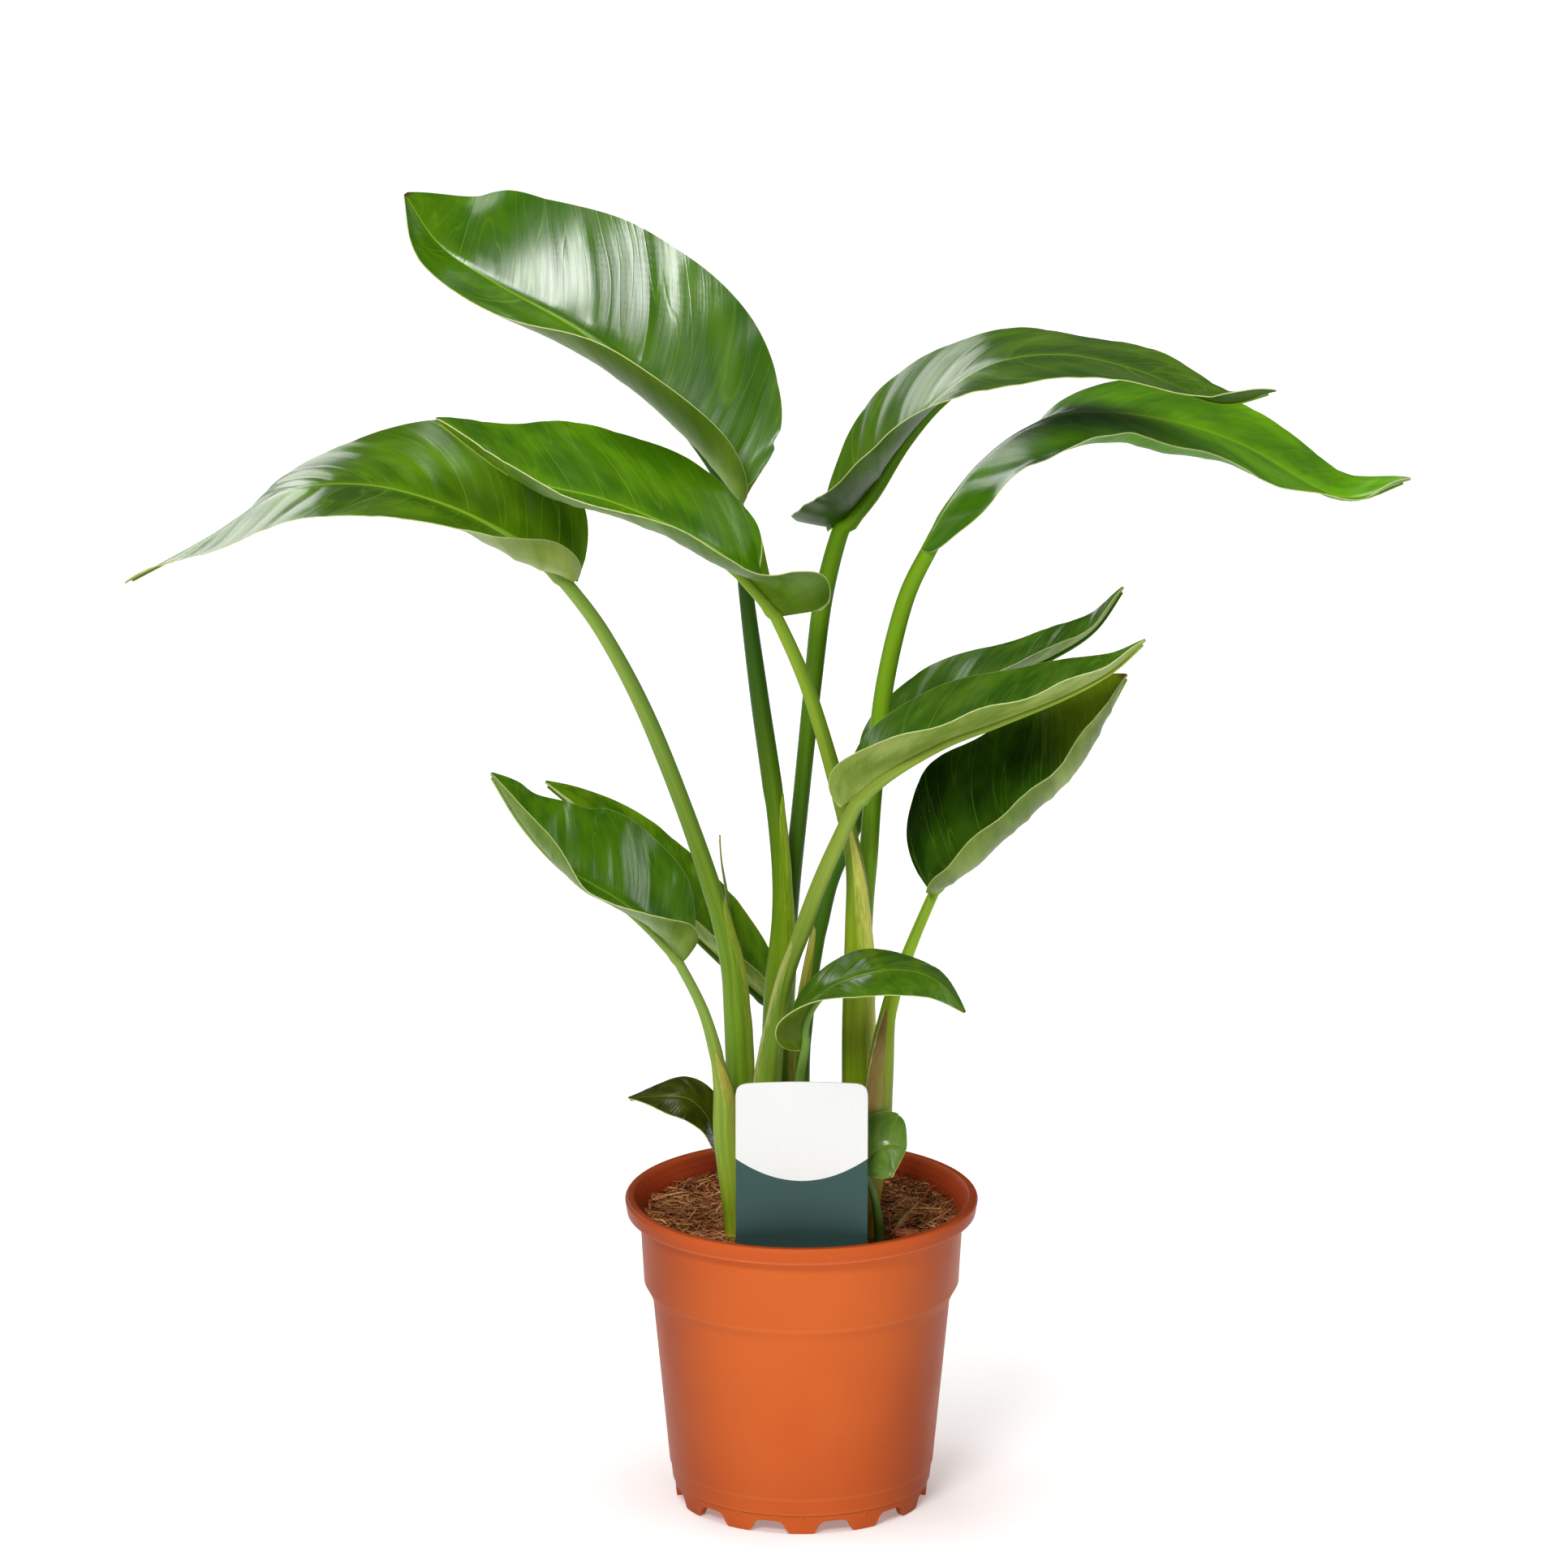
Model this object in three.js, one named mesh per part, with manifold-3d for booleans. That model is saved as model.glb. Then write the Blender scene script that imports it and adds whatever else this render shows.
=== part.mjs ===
// A young giant white bird of paradise in a terracotta-coloured nursery pot, with a plain plant tag.
// Every size is in millimetres. The plant is built about the pot's axis and moved at the end.
import * as THREE from "three";
import { mergeVertices } from "three/addons/utils/BufferGeometryUtils.js";
import Module from "manifold-3d";

const wasm = await Module();
wasm.setup();

// Sizes that pieces share
const GAP = 0.3;
const ROUND_SEGMENTS = 36;
const SOIL_TOP = 139;
const STEM_END = 112;

// Pot
const POT_OUTSIDE = [
  [0, 7.5],
  [56.6, 7.5],
  [57.4, 0],
  [60.5, 0],
  [61.4, 9.2],
  [62.3, 9.8],
  [63.1, 17.4],
  [63.7, 18.4],
  [71.6, 100.5],
  [73.2, 104.4],
  [75.9, 109.4],
  [77.8, 143.2],
  [83.9, 143.8],
  [85, 150.6],
  [83.9, 152],
];
const POT_INSIDE = [
  [80.6, 152],
  [79.4, 150.4],
  [76.5, 143],
  [74.3, 109.6],
  [70.1, 101],
  [62.1, 18],
  [60.4, 9.6],
  [0, 9.6],
];
const FOOT_COUNT = 12;
const NOTCH_HEIGHT = 6.5;
const NOTCH_HALF_TOP = 3.7;
const NOTCH_HALF_BOTTOM = 8.7;
const DRAIN_HOLES = 8;
const DRAIN_RADIUS = 4.5;
const DRAIN_RING_RADIUS = 42;

// Tag
const TAG_THICKNESS = 0.8;
const TAG_BOW = 4;
const TAG_Y = -66;
const TAG_COLUMNS = 6;
const TAG_ROWS = [
  [228.5, 26.4],
  [227.9, 28.9],
  [226.4, 30.6],
  [223.4, 31.3],
  [190, 31.3],
  [143, 31.3],
  [138, 11],
  [132, 5],
  [110, 1.5],
];

// Blade: where the stations across each half lie, and the two thicknesses
const ACROSS = [0, 0.09, 0.38, 0.7, 1];
const BLADE_THICKNESS = 0.8;
const BLADE_END = 1.1;
const TIP_KEEL = 0.9;
const STALK_SIDES = 8;

// Leaves: the rib runs from the blade's base to its tip and the stalk from the soil to the rib.
// Each list of angles, curls, widths or radii is spread evenly along its curve.
// An angle lifts that half of the blade above level, and a curl turns it further by its margin.
// The base of a half reaches back past the rib by its lobe and up by its hang, with a fade.
const LEAVES = [
  {
    name: "leaf_top",
    colour: "#3f7a22",
    rib: [
      [-28, 15, 491], [-46, 25, 517], [-72, 38, 544], [-106, 52, 567], [-147, 63, 588],
      [-173, 70, 605], [-189, 75, 628],
    ],
    half: 58,
    widest: 0.42,
    point: 2.5,
    left: { angle: [0, -8, -12, -4, 0], curl: [100, 80, 60, 15, 0], wave: [1, 3, 0] },
    right: {
      angle: [60, 70, 68, 58, 35],
      curl: [10, 0, 0, 0, 0],
      wide: [1, 1.04, 1, 1.05, 1.7],
      lobe: -6,
      wave: [0.4, 4, 0.1],
    },
    stalk: [
      [-12, 4, STEM_END], [-12, 4, 209], [-11, 4, 249], [-9, 4, 290], [-12, 7, 338], [-20, 10, 397],
      [-26, 12, 445], [-28, 15, 491],
    ],
    radii: [7.5, 7.5, 7.5, 7.6, 5, 4.8, 4.4, 3.6],
    stations: 15,
  },
  {
    name: "leaf_far_left",
    colour: "#47802a",
    rib: [
      [-108, -10, 460], [-129, -16, 479], [-166, -22, 500], [-205, -28, 512], [-243, -34, 510],
      [-281, -38, 488], [-318, -42, 468],
    ],
    half: 52,
    widest: 0.34,
    point: 2.3,
    left: {
      angle: [-15, -45, -30, -12, -6, -3, -2, -2, 0, 8, 20],
      curl: [110, 140, 80, 30, 8, 0, 0, 0, 0, 10, 20],
      wide: [0.7, 1.1, 1.1, 1, 1, 1, 1, 1, 1, 1, 1],
      wave: [1, 3, 0],
    },
    right: {
      angle: [50, 40, 8, -18, -15],
      curl: [0, 0],
      wide: [1.3, 1.1, 1, 1, 1],
      lobe: 2,
      wave: [1.5, 3, 0.2],
    },
    stalk: [
      [-28, -12, STEM_END], [-29, -12, 185], [-31, -12, 246], [-35, -12, 279], [-49, -12, 329],
      [-72, -11, 391], [-93, -10, 433], [-108, -10, 460],
    ],
    radii: [6.6, 6.8, 7, 6.6, 5, 4.2, 4, 3.6],
    stations: 15,
  },
  {
    name: "leaf_mid_left",
    colour: "#43781f",
    rib: [
      [-9, -35, 450], [-28, -42, 474], [-52, -50, 493], [-90, -58, 512], [-132, -66, 526],
      [-170, -75, 556],
    ],
    half: 54,
    widest: 0.42,
    point: 2.2,
    left: {
      angle: [50, 10, -16, -20, -16, -14, -13, -12, -8, -4, 0],
      curl: [30, 50, 50, 50, 45, 42, 40, 38, 35, 32, 30],
      wide: [0.7, 1, 0.95, 1, 1, 1, 1, 1, 1, 1, 1],
      lobe: 11,
      hang: 15,
      fade: 10,
      wave: [1, 3, 0],
    },
    right: { angle: [35, 31, 28, 30, 25], curl: [0, 0], lobe: -22, wave: [0.6, 3, 0.2] },
    stalk: [
      [27, -14, STEM_END], [27, -14, 186], [27, -14, 235], [27, -15, 288], [25, -19, 325],
      [17, -25, 363], [3, -31, 413], [-9, -35, 450],
    ],
    radii: [8, 8.2, 8.2, 8.2, 7, 4.6, 3.8, 3.4],
    stations: 15,
  },
  {
    name: "leaf_top_right",
    colour: "#47762c",
    rib: [
      [15, 18, 479], [30, 14, 497], [47, 8, 525], [66, 2, 548], [91, -4, 565], [123, -12, 571],
      [157, -18, 565], [195, -26, 552], [222, -30, 558],
    ],
    half: 53,
    widest: 0.34,
    point: 2.6,
    left: { angle: [38, 30, 9, -3, 1, 6], curl: [0, 0], lobe: 4, wave: [1, 3, 0] },
    right: {
      angle: [-4, -16, -5, 0, 12, 30],
      curl: [60, 55, 10, 0, 0, 20],
      lobe: 10,
      hang: 14,
      fade: 14,
      wave: [1.5, 3, 0.2],
    },
    stalk: [
      [-10, 19, STEM_END], [-10, 19, 204], [-8, 19, 257], [-5, 19, 298], [-1, 18, 338], [5, 17, 399],
      [10, 17, 443], [15, 18, 479],
    ],
    radii: [5, 5, 5, 4.6, 4.2, 4, 4.2, 4.6],
    stations: 16,
  },
  {
    name: "leaf_far_right",
    colour: "#4d8a1e",
    rib: [
      [58, 5, 475], [68, 8, 493], [83, 11, 512], [104, 14, 528], [131, 18, 536], [170, 23, 531],
      [209, 28, 517], [256, 34, 490], [290, 40, 497],
    ],
    half: 48,
    widest: 0.42,
    point: 2.6,
    left: { angle: [-20, -22, 8, 18, 25], curl: [0, 0], lobe: 2, wave: [1, 3, 0] },
    right: { angle: [-15, -8, -10, -4, 18], curl: [0, 0, 0, 0, 30], lobe: 4, wave: [1.5, 5, 0.2] },
    stalk: [
      [29, 1, STEM_END], [29, 1, 210], [29, 1, 283], [32, 1, 323], [34, 1, 352], [39, 2, 403],
      [49, 3, 447], [58, 5, 475],
    ],
    radii: [6, 6, 5.4, 5, 4.8, 4.4, 4.4, 4.2],
    stations: 16,
  },
  {
    name: "leaf_inner_right",
    colour: "#3c6f1d",
    rib: [
      [32, 22, 351], [47, 26, 373], [67, 30, 388], [90, 34, 398], [117, 38, 409], [139, 42, 422],
      [154, 46, 442],
    ],
    half: 28,
    widest: 0.36,
    point: 2.2,
    left: { angle: [30, 25, 20, 16, 15], curl: [0, 0], wave: [1, 3, 0] },
    right: { angle: [20, 18, 18, 18, 20], curl: [20, 20], wave: [1, 3, 0.2] },
    stalk: [
      [-1, -7, STEM_END], [-1, -7, 210], [1, -6, 241], [5, -2, 268], [13, 8, 303], [22, 15, 323],
      [32, 22, 351],
    ],
    radii: [5.5, 5.5, 5.5, 5.3, 4.8, 4, 3.4],
    stations: 12,
  },
  {
    name: "leaf_mid_right",
    colour: "#3f7327",
    rib: [
      [23, -40, 361], [39, -43, 376], [66, -46, 392], [92, -50, 403], [123, -55, 417],
      [145, -58, 430], [161, -60, 445],
    ],
    half: 32,
    widest: 0.28,
    point: 2,
    left: { angle: [35, 38, 38, 38, 30], curl: [0, 0], wave: [0.8, 3, 0] },
    right: { angle: [60, 18, 14, 14, 20], curl: [10, 25, 25, 25, 20], lobe: 6, wave: [1.2, 4, 0.2] },
    stalk: [
      [-17, -30, STEM_END], [-17, -30, 191], [-16, -30, 219], [-10, -32, 261], [-1, -34, 291],
      [10, -37, 323], [23, -40, 361],
    ],
    radii: [8, 8.4, 8.4, 6.6, 4.6, 4.1, 3.8],
    stations: 13,
  },
  {
    name: "leaf_low_right",
    colour: "#35661d",
    rib: [
      [61, -5, 306], [74, -6, 321], [92, -8, 340], [109, -10, 356], [124, -12, 369], [139, -14, 388],
      [154, -16, 416],
    ],
    half: 52,
    widest: 0.34,
    point: 3.6,
    left: { angle: [55, 48, 38, 38, 42], curl: [0, 0], wave: [1.2, 4, 0.3] },
    right: { angle: [-30, -35, -30, -20, -10], curl: [80, 90, 80, 60, 40], wave: [1.2, 4, 0] },
    stalk: [
      [30, -30, STEM_END], [30, -30, 150], [35, -30, 191], [37, -30, 217], [41, -25, 250],
      [50, -16, 276], [61, -5, 306],
    ],
    radii: [6, 6.6, 7.8, 7.8, 6.4, 3.8, 2.8],
    stations: 14,
  },
  {
    name: "leaf_front",
    colour: "#447a24",
    rib: [
      [0, -50, 243], [1, -52, 257], [10, -55, 271], [28, -60, 281], [47, -65, 285], [64, -70, 281],
      [77, -75, 267],
    ],
    half: 24,
    widest: 0.38,
    point: 2.4,
    left: { angle: [40, 22, 14, -6, 0], curl: [0, 0], wave: [0.5, 3, 0] },
    right: { angle: [30, 5, -12, -22, -10], curl: [40, 0, 0, 0, 0], lobe: 3, wave: [0.5, 3, 0.2] },
    stalk: [[-2, -43, STEM_END], [-2, -43, 195], [-1, -45, 223], [0, -50, 243]],
    radii: [3, 2.8, 2.4, 2.2],
    stations: 12,
  },
  {
    name: "leaf_low_left",
    colour: "#35681b",
    rib: [
      [-56, -45, 283], [-68, -48, 298], [-83, -52, 313], [-98, -56, 324], [-113, -60, 335],
      [-131, -66, 357], [-146, -70, 383],
    ],
    half: 38,
    widest: 0.4,
    point: 2.4,
    left: {
      angle: [0, -15, -16, -15, -10],
      curl: [110, 60, 30, 65, 60],
      wide: [1, 1, 0.85, 0.7, 0.7],
      lobe: -2,
      wave: [0.5, 3, 0],
    },
    right: {
      angle: [60, 62, 58, 48, 45],
      curl: [0, 0],
      wide: [1, 1, 1, 0.84, 0.9],
      wave: [1.6, 4, 0.55],
    },
    stalk: [
      [-31, -28, STEM_END], [-32, -28, 149], [-36, -28, 190], [-38, -30, 218], [-46, -38, 254],
      [-56, -45, 283],
    ],
    radii: [5.2, 5.6, 6.4, 6.2, 3.6, 2.6],
    stations: 13,
  },
  {
    name: "leaf_back_left",
    colour: "#2f621b",
    rib: [[-15, 26, 240], [-34, 28, 258], [-54, 30, 277], [-77, 32, 302], [-100, 34, 328], [-123, 36, 348]],
    half: 28,
    widest: 0.42,
    point: 2.2,
    left: {
      angle: [20, 15, 10, 10, 10],
      curl: [50, 40, 30, 30, 30],
      wide: [1, 0.75, 0.65, 0.75, 0.8],
      lobe: 3,
      wave: [0.5, 3, 0],
    },
    right: { angle: [60, 55, 50, 45, 40], curl: [0, 0], wave: [1, 3, 0.2] },
    stalk: [[-14, 29, STEM_END], [-14, 28, 173], [-13, 27, 214], [-15, 26, 240]],
    radii: [3.2, 3, 2.6, 2.2],
    stations: 12,
  },
  {
    name: "leaf_seed_left",
    colour: "#3a6c20",
    rib: [[-39, 0, 173], [-45, -1, 191], [-54, -3, 201], [-67, -5, 203], [-83, -8, 203]],
    half: 14,
    widest: 0.5,
    point: 1.8,
    left: { angle: [-25, -25, -35, -30, 0], curl: [0, 0] },
    right: { angle: [40, 45, 35, 15, 0], curl: [0, 0] },
    stalk: [[-34, 3, STEM_END + 8], [-34, 2, 148], [-36, 1, 160], [-39, 0, 173]],
    radii: [2.4, 2.4, 2.2, 1.8],
    stations: 6,
  },
  {
    name: "leaf_seed_right",
    colour: "#548a4a",
    rib: [[28, -50, 181], [34, -50, 189], [40, -50, 193], [45, -50, 193], [50, -50, 192]],
    half: 17,
    widest: 0.5,
    point: 5,
    left: { angle: [60, 60, 55, 50, 50], curl: [0, 0] },
    right: { angle: [-50, -50, -45, -45, -40], curl: [0, 0] },
    stalk: [[38, -50, STEM_END + 8], [37, -50, 152], [34, -50, 169], [28, -50, 181]],
    radii: [3.4, 3.2, 2.6, 1.8],
    stations: 6,
  },
];

// The rolled new leaf: a slender cone that stands behind the far left leaf's stem
const SPEAR_POINTS = [
  [-28, 2, STEM_END], [-29, 2, 180], [-31, 1, 250], [-35, -1, 298], [-38, -3, 320],
  [-39, -3, 333],
];
const SPEAR_RADII = [3, 3, 3, 2.6, 1.4, 0.4];

// Loose pieces on the soil
const CHIP_SIZE = [14, 8, 2.6];
const CHIP_CENTRE = [50, -22, 139.6];
const CHIP_TILT = 0.14;
const CHIP_TURN = 0.5;
const DRY_POINTS = [[44, -6, 130], [46, -8, 139], [50, -10, 146], [56, -11, 151]];
const DRY_RADII = [3, 3.2, 2.2, 0.5];

// Value of a short list of numbers, spread evenly from 0 to 1, on a smooth curve
function valueAt(list, t) {
  const last = list.length - 1;
  const place = THREE.MathUtils.clamp(t, 0, 1) * last;
  const i = Math.min(Math.floor(place), last - 1);
  const w = place - i;
  const before = i > 0 ? list[i - 1] : 2 * list[0] - list[1];
  const after = i + 2 <= last ? list[i + 2] : 2 * list[last] - list[last - 1];
  const slopeIn = (list[i + 1] - before) / 2;
  const slopeOut = (after - list[i]) / 2;
  const rise = list[i + 1] - list[i];
  const bend = 3 * rise - 2 * slopeIn - slopeOut;
  const twist = slopeIn + slopeOut - 2 * rise;
  return list[i] + w * (slopeIn + w * (bend + w * twist));
}

function curveOf(points) {
  const vectors = points.map((p) => new THREE.Vector3(...p));
  return new THREE.CatmullRomCurve3(vectors, false, "catmullrom", 0.5);
}

// A closed solid from points and triangles
function solidFrom(points, faces) {
  const made = new wasm.Mesh({
    numProp: 3,
    vertProperties: new Float32Array(points.flatMap((p) => [p.x, p.y, p.z])),
    triVerts: new Uint32Array(faces.flat()),
  });
  return new wasm.Manifold(made);
}

// A closed solid from a three.js geometry
function solidOf(geometry) {
  const bare = geometry.clone();
  bare.deleteAttribute("normal");
  bare.deleteAttribute("uv");
  const merged = mergeVertices(bare, 1e-3);
  const place = merged.getAttribute("position");
  const points = [];
  for (let i = 0; i < place.count; i += 1) {
    points.push(new THREE.Vector3().fromBufferAttribute(place, i));
  }
  const faces = [];
  for (let i = 0; i < merged.index.count; i += 3) {
    const [a, b, c] = merged.index.array.slice(i, i + 3);
    if (a !== b && b !== c && c !== a) faces.push([a, b, c]);
  }
  return solidFrom(points, faces);
}

// A solid of revolution about Z whose profile of [radius, height] goes from the axis round to the axis
function turned(profile) {
  const points = profile.map(([r, z]) => new THREE.Vector2(r, z));
  const lathe = new THREE.LatheGeometry(points, ROUND_SEGMENTS);
  return solidOf(lathe.rotateX(Math.PI / 2));
}

// A round rod along a curve, closed at both ends. A grown one is the hole it stands in:
// wider all round, a little deeper, and cut off above the soil
function rod(points, radii, steps, grown = 0) {
  const curve = curveOf(points);
  const frames = curve.computeFrenetFrames(steps, false);
  const made = [];
  const faces = [];
  let last = steps;
  for (let i = 0; i <= last; i += 1) {
    const centre = curve.getPointAt(i / steps);
    const radius = valueAt(radii, i / steps) + grown;
    if (grown > 0 && i === 0) centre.z -= grown;
    if (grown > 0 && centre.z > SOIL_TOP + 5) last = i;
    for (let k = 0; k < STALK_SIDES; k += 1) {
      const turn = (2 * Math.PI * k) / STALK_SIDES;
      made.push(
        centre
          .clone()
          .addScaledVector(frames.normals[i], radius * Math.cos(turn))
          .addScaledVector(frames.binormals[i], radius * Math.sin(turn)),
      );
    }
  }
  const id = (i, k) => i * STALK_SIDES + (k % STALK_SIDES);
  for (let i = 0; i < last; i += 1) {
    for (let k = 0; k < STALK_SIDES; k += 1) {
      faces.push([id(i, k), id(i, k + 1), id(i + 1, k + 1)]);
      faces.push([id(i, k), id(i + 1, k + 1), id(i + 1, k)]);
    }
  }
  for (let k = 1; k < STALK_SIDES - 1; k += 1) {
    faces.push([id(0, 0), id(0, k + 1), id(0, k)]);
    faces.push([id(last, 0), id(last, k), id(last, k + 1)]);
  }
  return solidFrom(made, faces);
}

// How wide a blade is at u, as a share of its widest half
function outline(u, widest, point) {
  if (u < widest) return Math.sqrt(1 - ((widest - u) / widest) ** 2);
  return 1 - ((u - widest) / (1 - widest)) ** point;
}

// The blade's middle surface as rows of points from the left margin to the right one,
// with the rib's own direction and upward side for each row
function bladeRows(leaf) {
  const curve = curveOf(leaf.rib);
  const heading = curve.getPoint(1).sub(curve.getPoint(0)).setZ(0).normalize();
  const level = heading.clone().cross(new THREE.Vector3(0, 0, 1));
  const rows = [];
  for (let i = 0; i <= leaf.stations; i += 1) {
    const u = i / leaf.stations;
    const along = curve.getTangentAt(u);
    const side = level.clone().addScaledVector(along, -level.dot(along)).normalize();
    const up = side.clone().cross(along);
    const width = BLADE_END + (leaf.half - BLADE_END) * outline(u, leaf.widest, leaf.point);
    const row = [];
    for (const [half, sign] of [[leaf.left, -1], [leaf.right, 1]]) {
      const stations = sign < 0 ? ACROSS.slice(1).reverse() : ACROSS;
      for (const v of stations) {
        row.push(bladePoint(curve.getPointAt(u), { u, v, width, sign, half, along, side, up }));
      }
    }
    rows.push({ row, up, along });
  }
  return rows;
}

// One point of the blade at v across a half: the section leaves the rib at an angle and curls
function bladePoint(start, { u, v, width, sign, half, along, side, up }) {
  const angle = THREE.MathUtils.degToRad(valueAt(half.angle, u));
  const curl = THREE.MathUtils.degToRad(valueAt(half.curl, u));
  const reach = width * valueAt(half.wide ?? [1, 1], u);
  const steps = 12;
  let out = 0;
  let lift = 0;
  for (let k = 0; k < steps; k += 1) {
    const turn = angle + (curl * v * (k + 0.5)) / steps;
    out += (Math.cos(turn) * v) / steps;
    lift += (Math.sin(turn) * v) / steps;
  }
  const [height, waves, phase] = half.wave ?? [0, 1, 0];
  const calm = THREE.MathUtils.clamp(Math.min(u, 1 - u) / 0.12, 0, 1);
  const ripple = height * v * v * calm * Math.sin(2 * Math.PI * (waves * u + phase));
  const turn = angle + curl * v;
  const base = (1 - u) ** (half.fade ?? 6) * v ** 1.5;
  return start
    .addScaledVector(side, sign * (reach * out - ripple * Math.sin(turn)))
    .addScaledVector(up, reach * lift + ripple * Math.cos(turn) + (half.hang ?? 0) * base)
    .addScaledVector(along, -(half.lobe ?? 0) * base);
}

// The blade as one closed solid: two like skins, with the midrib as a keel under the lower one
function bladeSolid(leaf) {
  const rows = bladeRows(leaf);
  const columns = rows[0].row.length;
  const centre = (columns - 1) / 2;
  const middle = rows.flatMap(({ row }) => row);
  const id = (i, j) => i * columns + j;
  const skin = [];
  for (let i = 0; i < rows.length - 1; i += 1) {
    for (let j = 0; j < columns - 1; j += 1) {
      skin.push([id(i, j), id(i, j + 1), id(i + 1, j + 1)]);
      skin.push([id(i, j), id(i + 1, j + 1), id(i + 1, j)]);
    }
  }
  const sheet = new THREE.BufferGeometry().setFromPoints(middle).setIndex(skin.flat());
  sheet.computeVertexNormals();
  const normals = sheet.getAttribute("normal");
  const upper = [];
  const lower = [];
  middle.forEach((p, n) => {
    const normal = new THREE.Vector3().fromBufferAttribute(normals, n);
    const i = Math.floor(n / columns);
    const isRib = n % columns === centre;
    const keel = THREE.MathUtils.lerp(1.7 * leaf.radii.at(-1), TIP_KEEL, Math.sqrt(i / leaf.stations));
    upper.push(p.clone().addScaledVector(normal, BLADE_THICKNESS / 2));
    lower.push(
      isRib
        ? p.clone().addScaledVector(rows[i].up, -keel)
        : p.clone().addScaledVector(normal, -BLADE_THICKNESS / 2),
    );
  });
  const count = middle.length;
  const faces = skin.concat(skin.map(([a, b, c]) => [count + a, count + c, count + b]));
  const border = [];
  for (let j = 0; j < columns - 1; j += 1) border.push(id(0, j));
  for (let i = 0; i < rows.length - 1; i += 1) border.push(id(i, columns - 1));
  for (let j = columns - 1; j > 0; j -= 1) border.push(id(rows.length - 1, j));
  for (let i = rows.length - 1; i > 0; i -= 1) border.push(id(i, 0));
  border.forEach((a, n) => {
    const b = border[(n + 1) % border.length];
    faces.push([a, count + a, count + b]);
    faces.push([a, count + b, b]);
  });
  return solidFrom(upper.concat(lower), faces);
}

// The stalk meets the blade a little under the rib
function stalkPoints(leaf) {
  const curve = curveOf(leaf.rib);
  const { up } = bladeRows(leaf)[0];
  const drop = -0.9 * leaf.radii.at(-1);
  const joint = curve.getPoint(0).addScaledVector(up, drop);
  const inside = curve.getPointAt(0.03).addScaledVector(up, drop);
  return leaf.stalk.slice(0, -1).concat([joint.toArray(), inside.toArray()]);
}

function stalkSolid(leaf, grown = 0) {
  const radii = leaf.radii.concat([leaf.radii.at(-1) * 0.9]);
  return rod(stalkPoints(leaf), radii, leaf.stations, grown);
}

function leafSolid(leaf) {
  return stalkSolid(leaf).add(bladeSolid(leaf));
}

function potSolid() {
  let pot = turned(POT_OUTSIDE.concat(POT_INSIDE));
  const notch = new THREE.Shape([
    new THREE.Vector2(-NOTCH_HALF_BOTTOM - 0.8, -1),
    new THREE.Vector2(NOTCH_HALF_BOTTOM + 0.8, -1),
    new THREE.Vector2(NOTCH_HALF_TOP, NOTCH_HEIGHT),
    new THREE.Vector2(-NOTCH_HALF_TOP, NOTCH_HEIGHT),
  ]);
  for (let k = 0; k < FOOT_COUNT; k += 1) {
    const cutter = new THREE.ExtrudeGeometry(notch, { depth: 14, bevelEnabled: false });
    cutter.rotateX(Math.PI / 2);
    cutter.translate(0, -50, 0);
    cutter.rotateZ((2 * Math.PI * (k + 0.5)) / FOOT_COUNT);
    pot = pot.subtract(solidOf(cutter));
  }
  for (let k = 0; k < DRAIN_HOLES; k += 1) {
    const drain = new THREE.CylinderGeometry(DRAIN_RADIUS, DRAIN_RADIUS, 8, 12);
    drain.rotateX(Math.PI / 2);
    drain.translate(DRAIN_RING_RADIUS, 0, 8.5);
    drain.rotateZ((2 * Math.PI * (k + 0.5)) / DRAIN_HOLES);
    pot = pot.subtract(solidOf(drain));
  }
  return pot;
}

// Small mounds on the compost, higher at the left and the back
function soilHeight(x, y) {
  const mounds = 1.1 * Math.sin(x / 9 + 1) * Math.cos(y / 8) + 0.8 * Math.sin(x / 4.5 + y / 6);
  return SOIL_TOP + mounds - 0.012 * x + 0.012 * y;
}

function soilSolid(cutters) {
  const wall = POT_INSIDE.slice(3).reverse();
  const side = wall.map(([r, z]) => [Math.max(r - 1.4 * GAP, 0), z + GAP]);
  const top = [75.6, 66, 56, 46, 36, 26, 16, 7, 0].map((r) => [r, SOIL_TOP]);
  const points = side.concat(top).map(([r, z]) => new THREE.Vector2(r, z));
  const lathe = new THREE.LatheGeometry(points, ROUND_SEGMENTS).rotateX(Math.PI / 2);
  const place = lathe.getAttribute("position");
  for (let i = 0; i < place.count; i += 1) {
    if (place.getZ(i) > SOIL_TOP - 1) place.setZ(i, soilHeight(place.getX(i), place.getY(i)));
  }
  let soil = solidOf(lathe);
  for (const cutter of cutters) soil = soil.subtract(cutter);
  return soil;
}

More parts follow.
